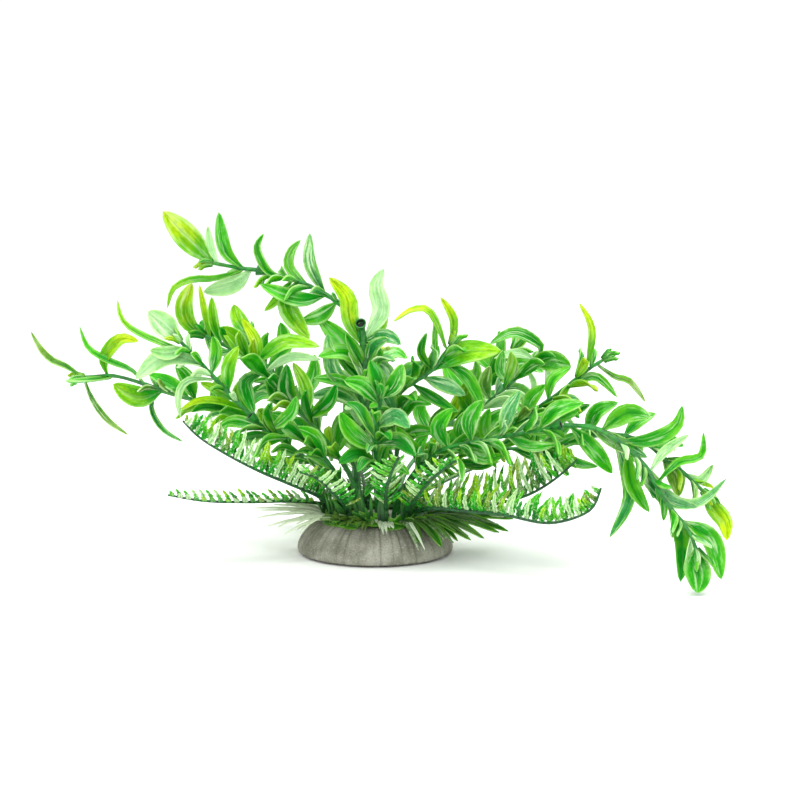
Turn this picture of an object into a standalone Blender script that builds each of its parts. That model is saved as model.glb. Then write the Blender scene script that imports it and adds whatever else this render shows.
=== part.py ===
"""A moulded aquarium plant on a cast disc foot, 0.28 m wide and 0.14 m tall, in metres.

The origin is the middle of the foot's underside, +Z is up, and the plant's front faces -Y.
Stems and leaves follow picture points (across, down, near): across and down count steps of 0.4 mm
on a front view of the plant, and near is how far the point stands towards the viewer, in mm.
"""

import math

import bmesh
import bpy
from mathutils import Vector

# The front view that the picture points are read on
MM = 0.001
STEP = 0.4 * MM
VIEW_TILT = math.radians(8.0)
VIEW_DISTANCE = 0.850
AIM = Vector((0.010, 0.0, 0.0617))
AIM_ACROSS = 400.0
AIM_DOWN = 400.0
VIEW_UP = Vector((0.0, math.sin(VIEW_TILT), math.cos(VIEW_TILT)))
VIEW_BACK = Vector((0.0, -math.cos(VIEW_TILT), math.sin(VIEW_TILT)))
EYE = AIM + VIEW_BACK * VIEW_DISTANCE

# The disc foot
FOOT_HEIGHT = 14.0 * MM
FOOT_PROFILE = (
    (0.0, 14.0),
    (20.0, 13.9),
    (24.2, 12.2),
    (28.4, 8.4),
    (30.9, 4.2),
    (31.4, 1.9),
    (28.8, 0.0),
    (0.0, 0.0),
)
FOOT_STEPS = 30
GROOVE_DEPTH = 0.9 * MM
GROOVED_FROM_RADIUS = 22.0 * MM
GROOVED_ABOVE = 0.3 * MM
GROOVE_LEAST_SHARE = 0.6
GROOVE_RHYTHM = 1.7
SCREW_MERGE = 0.01 * MM
HOLE_DEPTH = 5.0 * MM
HOLE_SIDES = 6
HOLE_CUTTER_ABOVE = 1.0 * MM

# Stems, sockets and the play between one piece and the next
STEM_RADIUS = 0.95 * MM
STEM_TIP_RADIUS = 0.62 * MM
TRUNK_RADIUS = 1.9 * MM
TRUNK_TIP_RADIUS = 1.2 * MM
PLAY = 0.35 * MM
SOCKET_RADIUS = 2.4 * MM
SOCKET_LENGTH = 4.2 * MM
SOCKET_SIDES = 8
SOCKET_ROOT_RADIUS = 0.8 * STEM_RADIUS
SHOULDER_RADIUS = 0.86 * SOCKET_RADIUS
SHOULDER_BACK = 0.62 * SOCKET_LENGTH
BORE_DEPTH = 0.5 * SOCKET_LENGTH
CUP_AHEAD = 0.5 * SOCKET_LENGTH
STEM_SPAN = 14.0 * MM
STRAIGHT_FOOT = 3.0 * MM
STEM_TAPER = 1.3
HEAD_REACH = 0.9 * SOCKET_LENGTH
HEAD_BORE = 1.8 * MM
HEAD_FACING = Vector((-0.15, -0.80, 0.62)).normalized()
ARM_START = (366, 350, -1)
ARM_SHORT_BY = 0.1 * MM

# How finely smooth lines are followed, in steps between two picture points
STEM_FINENESS = 12
FROND_FINENESS = 10
LEAF_FINENESS = 8
NEAREST_FINENESS = 8

# Corners closer than this are one, no length is taken as less than this, and a circle is turned from
# a direction that none of them faces
WELD_DISTANCE = 0.001 * MM
LEAST_SPAN = 0.000001 * MM
CIRCLE_START = Vector((0.0, 1.0, 0.2))

# Leaves: where along the blade it is how wide, for straighter blades and for strongly bent ones
LEAF_STATIONS = ((0.0, 0.14), (0.40, 0.92), (0.76, 0.88))
BENT_STATIONS = ((0.0, 0.13), (0.26, 0.50), (0.56, 1.0), (0.82, 0.80))
LEAF_KEEL = 0.95 * MM
LEAF_KEEL_FADE = 0.35
LEAF_TOP = 0.3 * MM
LEAST_HALF_WIDTH = 0.6 * MM

GREEN = (0.05, 0.36, 0.06)
DEEP_GREEN = (0.02, 0.22, 0.05)
YELLOW_GREEN = (0.30, 0.50, 0.03)
BLUE_GREEN = (0.12, 0.36, 0.20)
PALE_GREEN = (0.42, 0.56, 0.34)
STONE = (0.42, 0.41, 0.37)
SATIN = 0.38
SOFT_SATIN = 0.40
FROSTED = 0.45
ROUGH_CAST = 0.85

# Sprays in which leaf edges graze each other
GRAZING = (
    "far_left_tip", "front_spray", "left_centre_spray", "left_spray", "trunk", "upper_centre_spray",
)

# Where each stem stands in the foot: mm to the right of the middle, and mm towards the viewer
HOLES = {
    "trunk": (-5.5, 0.0),
    "left": (-10.5, 6.5),
    "far_left": (-12.0, -4.0),
    "left_centre": (-4.0, 7.0),
    "upper_centre": (1.5, 4.0),
    "right_centre": (3.5, -5.0),
    "right": (9.5, -5.5),
    "right_outer": (11.5, 1.0),
    "drooping": (7.5, 7.5),
    "front": (1.0, 11.5),
    "back_left": (-6.5, -10.0),
    "back": (0.5, -12.5),
    "back_right": (8.0, -12.0),
}

TRUNK_ROUTE = [(356, 480, 1), (360, 440, 1), (365, 400, 0), (365, 360, -1), (362, 328, -1)]
TRUNK_LEAVES = [
    ([(362, 348), (351, 322), (347, 297), (329, 277)], 4, 7.6, 75),
    ([(364, 342), (381, 312), (376, 286), (384, 268)], -8, 7.6, 80),
    ([(367, 338), (386, 336), (401, 344)], 7, 6.4, 65),
    ([(367, 342), (379, 352), (378, 367)], 6, 4.0, 40),
    ([(366, 392), (335, 374), (327, 334)], 6, 6.6, 75),
    ([(366, 386), (350, 364), (332, 338)], -6, 7.0, 70),
    ([(367, 384), (358, 366), (349, 352)], 5, 3.4, 50),
    ([(367, 360), (385, 372), (388, 409)], 6, 8.0, 75),
    ([(365, 406), (338, 394), (310, 396)], -7, 6.6, 70),
    ([(366, 398), (342, 381), (313, 378)], 5, 5.2, 65),
    ([(364, 418), (345, 420), (336, 453)], -6, 8.6, 75),
    ([(364, 424), (352, 424), (349, 440)], -4, 5.0, 60),
    ([(363, 426), (377, 434), (373, 452)], 7, 5.6, 70),
    ([(366, 376), (344, 344), (318, 318)], -9, 8.6, 75),
    ([(366, 366), (344, 352), (318, 356)], 9, 7.4, 65),
    ([(366, 374), (356, 352), (346, 334)], 9, 6.0, 65),
    ([(366, 364), (374, 346), (388, 338)], 12, 5.6, 60),
]

TOP_LEFT_ROUTE = [(351, 315, -2), (344, 308, -2.5), (330, 297, -4), (300, 282, -6), (262, 271, -8)]
TOP_LEFT_LEAVES = [
    ([(287, 279), (268, 271), (257, 249), (264, 234)], 4, 4.2, 55),
    ([(311, 287), (290, 269), (291, 252), (301, 240)], -4, 4.6, 55),
    ([(325, 294), (310, 264), (310, 233)], 3, 5.2, 70),
    ([(328, 297), (298, 299), (260, 284)], 7, 7.0, 72),
    ([(290, 280), (276, 300), (264, 311)], -5, 4.0, 55),
    ([(296, 283), (287, 306), (310, 339)], 6, 8.4, 80),
    ([(338, 303), (320, 316), (300, 321)], -6, 6.6, 65),
]

TOP_LEFT_TIP_ROUTE = [(258, 270, -8), (240, 268, -9), (213, 263, -10)]
TOP_LEFT_TIP_LEAVES = [
    ([(212, 263), (194, 244), (163, 211)], 1, 10.4, 80),
    ([(246, 268), (225, 250), (219, 212)], 4, 5.8, 70),
    ([(222, 265), (211, 248), (208, 226)], -5, 3.8, 50),
    ([(243, 268), (214, 278), (192, 279), (173, 288), (167, 308)], 5, 3.6, 40),
    ([(254, 270), (234, 284), (203, 292)], -5, 7.4, 75),
]

LEFT_ROUTE = [(341, 484, 10), (325, 459, 13), (304, 441, 16), (274, 434, 18), (254, 419, 20)]
LEFT_LEAVES = [
    ([(312, 446), (290, 431), (262, 440)], 5, 5.0, 55),
    ([(327, 461), (315, 438), (295, 427)], 4, 7.0, 70),
    ([(274, 434), (267, 420), (272, 402)], 4, 4.4, 50),
    ([(268, 430), (290, 414), (296, 396)], -3, 5.6, 65),
    ([(338, 478), (322, 476), (306, 482)], 5, 5.0, 50),
]

LEFT_TIP_ROUTE = [(250, 415, 20), (222, 386, 22), (200, 362, 23), (181, 342, 24)]
LEFT_TIP_LEAVES = [
    ([(181, 342), (163, 324), (148, 311)], 3, 9.6, 75),
    ([(186, 347), (168, 353), (150, 350)], 5, 6.0, 60),
    ([(202, 364), (176, 355), (157, 360), (135, 379)], 3, 8.2, 70),
    ([(190, 352), (160, 342), (126, 324), (118, 300)], -4, 3.4, 50),
    ([(246, 411), (222, 401), (199, 400), (180, 409)], 4, 4.2, 45),
    ([(238, 402), (220, 391), (200, 382)], -4, 4.6, 55),
    ([(214, 377), (188, 380), (178, 396), (180, 418)], 4, 3.4, 50),
    ([(229, 393), (228, 368), (238, 346)], 4, 6.2, 70),
    ([(210, 373), (216, 352), (212, 336)], -4, 6.0, 60),
]

FAR_LEFT_ROUTE = [(338, 488, -8), (308, 460, -14), (262, 428, -20), (228, 409, -24), (206, 403, -26)]
FAR_LEFT_LEAVES = [
    ([(228, 410), (216, 394), (222, 374)], -4, 6.0, 65),
    ([(250, 420), (238, 398), (240, 380)], 4, 6.4, 70),
    ([(266, 431), (248, 440), (232, 432)], -4, 5.6, 60),
    ([(288, 446), (284, 426), (270, 412)], 4, 6.4, 65),
    ([(304, 458), (286, 462), (266, 456)], -4, 5.4, 55),
]

FAR_LEFT_TIP_ROUTE = [(202, 402, -26), (172, 394, -29), (150, 386, -31), (115, 376, -34), (85, 377, -37)]
FAR_LEFT_TIP_LEAVES = [
    ([(115, 376), (90, 379), (65, 380)], 4, 5.0, 25),
    ([(86, 377), (66, 366), (52, 360), (41, 349), (31, 331)], 1, 3.4, 50),
    ([(86, 377), (90, 394), (98, 408), (110, 422), (129, 435)], -3, 3.2, 45),
    ([(109, 376), (104, 358), (120, 339), (139, 341)], 3, 5.8, 75),
    ([(162, 388), (138, 397), (113, 384)], 5, 9.0, 80),
    ([(146, 385), (132, 370), (106, 359), (88, 347), (80, 326)], -3, 3.4, 50),
    ([(164, 391), (152, 402), (154, 416), (165, 431), (183, 441)], -4, 3.2, 45),
    ([(188, 399), (172, 384), (148, 373)], -4, 6.4, 65),
    ([(196, 401), (188, 380), (176, 364)], 3, 7.0, 70),
]

LEFT_CENTRE_ROUTE = [
    (349, 474, 7),
    (324, 438, 7),
    (300, 412, 6),
    (275, 384, 5),
    (250, 361, 4),
    (228, 347, 3),
    (205, 336, 3),
]
LEFT_CENTRE_LEAVES = [
    ([(205, 336), (188, 322), (184, 304), (192, 283)], 3, 7.4, 75),
    ([(210, 339), (205, 312), (200, 285)], -4, 3.6, 50),
    ([(224, 345), (214, 322), (212, 297)], 4, 4.6, 55),
    ([(234, 350), (216, 350), (206, 322)], -5, 5.6, 60),
    ([(250, 361), (235, 338), (220, 327)], 4, 7.2, 75),
    ([(258, 368), (256, 342), (242, 318)], -4, 5.6, 65),
    ([(253, 362), (284, 342), (320, 346)], 4, 6.6, 75),
    ([(262, 371), (290, 357), (321, 359)], -3, 4.4, 60),
    ([(264, 373), (245, 383), (254, 413)], 5, 6.4, 75),
    ([(292, 403), (276, 398), (268, 372)], -4, 5.6, 65),
    ([(300, 413), (287, 392), (287, 364)], 4, 7.6, 80),
    ([(304, 417), (307, 390), (293, 362)], -3, 5.8, 70),
    ([(306, 419), (328, 402), (336, 384)], 4, 7.0, 65),
    ([(332, 449), (316, 440), (304, 424)], -4, 6.0, 60),
]

UPPER_CENTRE_ROUTE = [
    (392, 482, 5),
    (398, 440, 6),
    (399, 396, 8),
    (412, 384, 9),
    (430, 372, 10),
    (441, 360, 11),
    (451, 345, 12),
]
UPPER_CENTRE_LEAVES = [
    ([(434, 368), (461, 353), (501, 350)], 5, 9.6, 80),
    ([(451, 345), (454, 320), (441, 297)], 1, 4.2, 50),
    ([(436, 365), (435, 338), (437, 317)], -5, 3.4, 45),
    ([(448, 350), (431, 312), (412, 309), (393, 321)], -3, 3.8, 50),
    ([(404, 391), (406, 374), (424, 362)], 4, 6.4, 70),
    ([(424, 376), (445, 385), (466, 395)], 4, 6.6, 70),
    ([(414, 383), (434, 398), (459, 412)], -3, 5.4, 60),
    ([(441, 361), (468, 378), (484, 412)], 3, 5.8, 65),
    ([(398, 424), (412, 402), (432, 404)], 4, 5.6, 60),
    ([(397, 446), (412, 432), (436, 431)], 4, 6.2, 65),
    ([(399, 436), (388, 404), (368, 370)], 6, 8.8, 80),
    ([(398, 444), (385, 428), (368, 416)], 8, 7.0, 75),
    ([(432, 371), (421, 352), (427, 333)], 3, 4.0, 55),
]

RIGHT_CENTRE_ROUTE = [
    (398, 492, -6),
    (430, 462, -9),
    (455, 435, -11),
    (480, 410, -14),
    (520, 375, -18),
    (536, 360, -20),
]
RIGHT_CENTRE_LEAVES = [
    ([(536, 360), (541, 346), (515, 332), (489, 344)], 2, 5.0, 65),
    ([(530, 366), (550, 361), (571, 366)], 4, 9.0, 80),
    ([(534, 362), (518, 353), (494, 358)], -3, 4.6, 60),
    ([(528, 368), (534, 384), (531, 400)], 4, 3.2, 50),
    ([(535, 361), (548, 368), (546, 392)], -4, 3.2, 50),
    ([(505, 388), (520, 391), (536, 409)], 4, 7.0, 70),
    ([(472, 418), (510, 426), (554, 441)], -4, 6.0, 60),
    ([(490, 401), (485, 384), (490, 366)], 4, 5.8, 70),
    ([(472, 418), (465, 398), (474, 376)], 4, 6.8, 80),
    ([(514, 380), (501, 372), (503, 350)], -4, 5.4, 60),
    ([(458, 432), (470, 448), (495, 454)], 3, 6.0, 60),
    ([(446, 445), (436, 424), (450, 405)], 4, 6.2, 65),
    ([(420, 470), (418, 448), (428, 432)], -4, 6.0, 60),
]

RIGHT_ROUTE = [
    (414, 494, -4),
    (450, 464, -2),
    (485, 441, 0),
    (520, 420, 2),
    (560, 392, 4),
    (583, 373, 5),
    (603, 360, 5),
]
RIGHT_LEAVES = [
    ([(586, 370), (592, 330), (580, 303)], 2, 3.8, 50),
    ([(562, 390), (594, 376), (618, 397)], 3, 4.6, 55),
    ([(596, 365), (614, 376), (630, 381), (646, 402)], -3, 3.2, 45),
    ([(570, 384), (562, 398), (572, 407)], 3, 3.4, 50),
    ([(545, 402), (552, 380), (571, 366)], -4, 5.2, 60),
    ([(542, 405), (565, 413), (590, 404)], 3, 5.4, 60),
    ([(520, 420), (530, 400), (545, 384)], 3, 6.4, 70),
    ([(500, 432), (530, 418), (557, 437)], 6, 8.0, 75),
    ([(478, 445), (488, 424), (506, 408)], 3, 6.2, 70),
    ([(456, 460), (480, 464), (500, 458)], -4, 5.6, 55),
    ([(450, 464), (452, 440), (466, 424)], -4, 6.0, 60),
]

RIGHT_OUTER_ROUTE = [(420, 487, 5), (448, 455, 11), (500, 449, 16), (553, 447, 21), (592, 434, 25)]
RIGHT_OUTER_LEAVES = [
    ([(586, 437), (596, 412), (618, 402)], 3, 6.6, 70),
    ([(502, 449), (484, 430), (490, 408)], 3, 6.2, 70),
    ([(553, 447), (574, 462), (598, 466)], 2, 5.2, 55),
    ([(470, 452), (460, 430), (468, 410)], -3, 6.0, 65),
    ([(540, 448), (536, 424), (556, 410)], -3, 6.2, 65),
]

RIGHT_OUTER_TIP_ROUTE = [(597, 432, 26), (640, 440, 30), (664, 458, 33), (684, 473, 35), (702, 490, 37)]
RIGHT_OUTER_TIP_LEAVES = [
    ([(663, 457), (675, 474), (679, 497)], 3, 7.2, 75),
    ([(684, 473), (700, 480), (713, 464)], -3, 4.2, 55),
    ([(702, 490), (714, 508), (725, 522), (727, 541)], 1, 7.0, 75),
    ([(626, 437), (640, 420), (656, 413)], -4, 5.4, 60),
    ([(648, 446), (668, 440), (684, 446)], 3, 5.0, 55),
    ([(612, 434), (622, 448), (640, 462)], -3, 5.2, 55),
]

DROOPING_ROUTE = [
    (404, 488, 11),
    (425, 460, 17),
    (448, 448, 22),
    (500, 437, 29),
    (540, 430, 34),
    (556, 426, 36),
]
DROOPING_LEAVES = [
    ([(448, 448), (438, 428), (452, 408)], 3, 7.0, 70),
    ([(472, 443), (470, 420), (482, 400)], 3, 7.0, 70),
    ([(504, 436), (508, 412), (520, 390)], 3, 6.6, 70),
    ([(428, 458), (408, 444), (396, 426)], 4, 6.2, 65),
    ([(536, 431), (556, 410), (584, 402)], 3, 7.0, 70),
    ([(510, 435), (530, 446), (556, 444)], 4, 5.6, 60),
    ([(462, 445), (482, 458), (504, 455)], 4, 5.6, 60),
]

DROOPING_TIP_ROUTE = [
    (563, 425, 37),
    (600, 430, 42),
    (640, 460, 50),
    (665, 500, 58),
    (688, 530, 65),
    (696, 549, 69),
]
DROOPING_TIP_LEAVES = [
    ([(604, 431), (627, 413), (651, 417)], 3, 7.6, 80),
    ([(618, 441), (650, 440), (676, 426), (682, 405)], -3, 6.2, 65),
    ([(650, 474), (664, 452), (689, 434)], -4, 4.2, 55),
    ([(656, 484), (678, 462), (701, 456), (703, 432)], 3, 3.8, 50),
    ([(590, 428), (618, 443), (648, 457)], 5, 6.6, 65),
    ([(612, 436), (624, 466), (629, 500), (609, 538)], 3, 5.4, 65),
    ([(626, 447), (632, 484), (650, 512)], 5, 6.4, 70),
    ([(646, 467), (672, 499), (700, 502), (726, 478)], -3, 4.8, 60),
    ([(680, 519), (711, 539), (722, 580)], -4, 8.0, 75),
    ([(668, 504), (683, 542), (681, 582)], 4, 7.0, 70),
    ([(695, 546), (696, 562), (698, 577), (698, 593)], 10, 10.4, 80),
    ([(572, 426), (594, 450), (613, 474)], -4, 7.0, 70),
    ([(634, 454), (664, 496), (699, 507)], 4, 6.8, 70),
]

FRONT_ROUTE = [(378, 482, 20), (376, 452, 26), (377, 425, 30), (381, 398, 33)]
FRONT_LEAVES = [
    ([(376, 450), (352, 432), (340, 412)], 4, 8.0, 70),
    ([(377, 430), (395, 416), (410, 428)], 4, 7.2, 65),
    ([(380, 402), (364, 386), (344, 380)], 3, 7.4, 70),
    ([(381, 399), (395, 384), (402, 364)], 4, 7.0, 70),
    ([(376, 444), (398, 440), (416, 456)], 4, 7.0, 60),
    ([(381, 398), (378, 380), (370, 360)], -3, 6.6, 70),
    ([(377, 466), (358, 454), (338, 463)], 5, 7.0, 60),
    ([(378, 470), (394, 466), (410, 474)], 4, 6.0, 55),
]

BACK_LEFT_ROUTE = [(348, 470, -22), (318, 430, -36), (288, 395, -48), (264, 362, -57), (252, 338, -62)]
BACK_LEFT_LEAVES = [
    ([(252, 338), (240, 322), (234, 304)], -5, 8.0, 60),
    ([(264, 362), (240, 352), (222, 362)], 7, 7.6, 55),
    ([(268, 367), (284, 346), (280, 322)], -7, 8.0, 60),
    ([(288, 395), (260, 392), (246, 408)], 8, 7.4, 55),
    ([(292, 399), (312, 380), (314, 354)], -8, 8.0, 60),
    ([(318, 430), (292, 424), (280, 440)], 8, 7.4, 55),
]

BACK_ROUTE = [(374, 456, -30), (372, 408, -46), (368, 368, -57), (373, 340, -62)]
BACK_LEAVES = [
    ([(373, 340), (380, 322), (377, 300)], -5, 8.0, 60),
    ([(369, 362), (348, 350), (338, 330)], 6, 7.6, 60),
    ([(369, 366), (394, 352), (408, 358)], -8, 7.6, 55),
    ([(371, 402), (354, 396), (344, 416)], 8, 7.0, 55),
    ([(372, 406), (396, 386), (402, 366)], 8, 7.6, 60),
    ([(374, 452), (350, 440), (340, 424)], 7, 7.4, 60),
    ([(374, 448), (398, 440), (412, 424)], -7, 7.4, 60),
]

BACK_RIGHT_ROUTE = [(408, 468, -26), (440, 432, -40), (475, 396, -52), (500, 368, -60), (512, 350, -64)]
BACK_RIGHT_LEAVES = [
    ([(512, 350), (520, 338), (516, 326)], -5, 7.0, 60),
    ([(500, 368), (526, 362), (544, 372)], 7, 7.6, 55),
    ([(496, 372), (478, 352), (470, 340)], -7, 7.6, 60),
    ([(475, 396), (504, 398), (522, 412)], 8, 7.4, 55),
    ([(470, 401), (452, 378), (444, 362)], -8, 7.6, 60),
    ([(440, 432), (470, 436), (490, 446)], 8, 7.4, 55),
    ([(434, 439), (420, 412), (424, 392)], -8, 7.6, 60),
]

# Fronds: where each stands, its route, its longest leaflet in mm, and how wide its two rows open
FRONDS = {
    "fern_left_rising": (
        (-15.5, 2.5),
        [(320, 497, 12), (290, 484, 20), (259, 471, 28), (226, 454, 35), (199, 437, 40), (183, 421, 43)],
        16.0,
        32,
    ),
    "fern_left_low": (
        (-16.0, -2.5),
        [(318, 503, 1), (290, 501, 5), (250, 502, 9), (205, 501, 13), (168, 495, 16)],
        11.0,
        66,
    ),
    "fern_right_rising": (
        (15.5, 5.5),
        [(438, 507, 14), (470, 508, 20), (500, 503, 25), (530, 494, 31), (555, 479, 36), (577, 460, 41)],
        20.0,
        30,
    ),
    "fern_right_low": (
        (13.5, 9.5),
        [(430, 508, 24), (466, 511, 33), (505, 515, 42), (550, 523, 50), (589, 511, 57), (601, 488, 57)],
        14.5,
        34,
    ),
    "fern_front": (
        (5.0, 15.8),
        [(386, 506, 24), (386, 492, 32), (391, 474, 39), (399, 457, 44)],
        10.0,
        58,
    ),
    "fern_front_right": (
        (10.0, 13.2),
        [(412, 504, 25), (424, 488, 35), (440, 472, 43), (456, 461, 49)],
        9.5,
        52,
    ),
    "fern_front_left": (
        (-10.0, 13.0),
        [(344, 505, 24), (331, 491, 33), (316, 478, 41), (300, 472, 48)],
        10.0,
        58,
    ),
    "fern_back_left": (
        (-12.5, -10.5),
        [(330, 494, -30), (306, 480, -46), (284, 470, -60), (268, 466, -70)],
        12.0,
        60,
    ),
    "fern_back": (
        (-3.0, -16.2),
        [(365, 488, -34), (362, 474, -50), (360, 466, -64), (358, 464, -74)],
        12.0,
        60,
    ),
    "fern_back_right": (
        (13.0, -9.5),
        [(424, 492, -28), (452, 478, -44), (476, 468, -58), (496, 464, -68)],
        12.0,
        60,
    ),
}
FROND_PITCH = 5.6 * MM
FROND_RADIUS = 0.75 * MM
FROND_TAPER = 0.55
BARE_SECTIONS = 3
BARE_SHARE = 0.08
# In its first, steep sections a frond's upper side faces the middle of the plant
STEEP_SECTIONS = 4
SETTLED_SECTION = 8
STEEP_TILT = 0.02
LEAFLET_LEAN = 0.35
FIRST_LEAFLET = 0.7
LEAFLET_GROWTH = 0.45
LEAFLET_FALL = 3
LEAST_LEAFLET = 2.0 * MM

# Needle collars: the arc each spans on the foot in degrees from +X, its needles' reach in mm from
# first to last, and how many mm their tips stand over the collar from first to last
NEEDLES = {
    "needles_back": ((22, 148), (20, 22), (0, -1), 11),
    "needles_left": ((156, 218), (31, 22), (3, -3), 9),
    "needles_front": ((226, 288), (12, 13), (3, -2), 8),
    "needles_right": ((296, 374), (19, 35), (-7, 1), 10),
}
COLLAR_RADIUS = 21.0 * MM
COLLAR_HEIGHT = 15.3 * MM
COLLAR_THICKNESS = 0.9 * MM
SECOND_NEEDLE_SHORTER = 0.22
SECOND_NEEDLE_HIGHER = 2.5


def clear_scene():
    for found in list(bpy.data.objects):
        bpy.data.objects.remove(found)


def plant_collections():
    plant = bpy.data.collections.new("aquarium_plant")
    cutters = bpy.data.collections.new("cutters")
    for made in (plant, cutters):
        bpy.context.scene.collection.children.link(made)
    cutters.hide_render = True
    return plant, cutters


def material(name, color, roughness):
    made = bpy.data.materials.new(name)
    made.use_nodes = True
    shader = made.node_tree.nodes["Principled BSDF"]
    shader.inputs["Base Color"].default_value = (*color, 1.0)
    shader.inputs["Roughness"].default_value = roughness
    shader.inputs["Metallic"].default_value = 0.0
    return made


def place(point):
    """The place in the room of a picture point."""
    across, down, near = point
    right = (across - AIM_ACROSS) * STEP
    up = (AIM_DOWN - down) * STEP
    on_plane = AIM + Vector((right, 0.0, 0.0)) + VIEW_UP * up
    sight = on_plane - EYE
    return EYE + sight * ((-near * MM - EYE.y) / sight.y)


def picture(position):
    """The picture point of a place in the room: the other way round from place."""
    sight = position - EYE
    depth = -sight.dot(VIEW_BACK)
    across = AIM_ACROSS + sight.x * VIEW_DISTANCE / depth / STEP
    down = AIM_DOWN - sight.dot(VIEW_UP) * VIEW_DISTANCE / depth / STEP
    return (across, down, -position.y / MM)


def spline(points, along):
    """A point of the smooth line through points, along counting from 0 at the first."""
    last = len(points) - 1
    first = min(int(along), last - 1)
    share = along - first
    before, start, end, after = (
        Vector(points[min(max(first + offset, 0), last)]) for offset in (-1, 0, 1, 2)
    )
    return 0.5 * (
        2 * start
        + (end - before) * share
        + (2 * before - 5 * start + 4 * end - after) * share**2
        + (3 * start - before - 3 * end + after) * share**3
    )


def smooth_line(points, per_span):
    count = (len(points) - 1) * per_span
    return [spline(points, i / per_span) for i in range(count + 1)]


def evenly(points, shares):
    """The points at these shares of a line's length."""
    lengths = [0.0]
    for a, b in zip(points, points[1:]):
        lengths.append(lengths[-1] + (b - a).length)
    found = []
    for share in shares:
        wanted = share * lengths[-1]
        i = next((k for k in range(1, len(points) - 1) if lengths[k] >= wanted), len(points) - 1)
        part = (wanted - lengths[i - 1]) / max(lengths[i] - lengths[i - 1], LEAST_SPAN)
        found.append(points[i - 1].lerp(points[i], part))
    return found


def footed(hole, route):
    """A stem's route with its upright foot in its hole put before the picture points."""
    x, near = hole
    low = Vector((x * MM, -near * MM, FOOT_HEIGHT - HOLE_DEPTH + PLAY))
    high = Vector((x * MM, -near * MM, FOOT_HEIGHT + STRAIGHT_FOOT))
    return [picture(low), picture(high)] + route


def stem_line(route, standing):
    """Even stations along a smooth route; a standing stem's foot stays straight in its hole."""
    smooth = [place(point) for point in smooth_line(route[1:] if standing else route, STEM_FINENESS)]
    length = sum((b - a).length for a, b in zip(smooth, smooth[1:]))
    count = max(round(length / STEM_SPAN), 2)
    line = evenly(smooth, [i / count for i in range(count + 1)])
    return [place(route[0])] + line if standing else line


def loft(name, rings, tip=None):
    """One closed body through rings of as many points each, ending in a cap or in a point."""
    bm = bmesh.new()
    rows = [[bm.verts.new(point) for point in ring] for ring in rings]
    around = len(rings[0])
    for row, following in zip(rows, rows[1:]):
        for i in range(around):
            j = (i + 1) % around
            bm.faces.new((row[i], row[j], following[j], following[i]))
    bm.faces.new(reversed(rows[0]))
    if tip is None:
        bm.faces.new(rows[-1])
    else:
        point = bm.verts.new(tip)
        for i in range(around):
            bm.faces.new((rows[-1][i], rows[-1][(i + 1) % around], point))
    bmesh.ops.recalc_face_normals(bm, faces=bm.faces)
    mesh = bpy.data.meshes.new(name)
    bm.to_mesh(mesh)
    bm.free()
    return bpy.data.objects.new(name, mesh)


def tube(name, line, radii):
    """A round bar along a line, from a bevelled curve."""
    curve = bpy.data.curves.new(name, "CURVE")
    curve.dimensions = "3D"
    curve.bevel_depth = 1.0
    curve.bevel_resolution = 1
    curve.use_fill_caps = True
    strand = curve.splines.new("POLY")
    strand.points.add(len(line) - 1)
    for point, position, radius in zip(strand.points, line, radii):
        point.co = (*position, 1.0)
        point.radius = radius
    guide = bpy.data.objects.new(name + "_route", curve)
    bpy.context.scene.collection.objects.link(guide)
    graph = bpy.context.evaluated_depsgraph_get()
    mesh = bpy.data.meshes.new_from_object(guide.evaluated_get(graph))
    mesh.transform(guide.matrix_world)
    bpy.data.objects.remove(guide)
    bm = bmesh.new()
    bm.from_mesh(mesh)
    bmesh.ops.remove_doubles(bm, verts=bm.verts, dist=WELD_DISTANCE)
    bmesh.ops.recalc_face_normals(bm, faces=bm.faces)
    bm.to_mesh(mesh)
    bm.free()
    return bpy.data.objects.new(name, mesh)


def circle(middle, direction, radius, sides):
    side = direction.cross(CIRCLE_START).normalized()
    other = direction.cross(side).normalized()
    turns = [2 * math.pi * i / sides for i in range(sides)]
    return [middle + (side * math.cos(t) + other * math.sin(t)) * radius for t in turns]


def socket(name, mouth, direction, bore=STEM_RADIUS + PLAY):
    """A short moulded cup round the end of a stem, open at its mouth."""
    outline = (
        (-SOCKET_LENGTH, SOCKET_ROOT_RADIUS),
        (-SHOULDER_BACK, SHOULDER_RADIUS),
        (0.0, SOCKET_RADIUS),
        (0.0, bore),
        (-BORE_DEPTH, bore),
    )
    rings = [circle(mouth + direction * along, direction, radius, SOCKET_SIDES) for along, radius in outline]
    return loft(name, rings)


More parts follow.
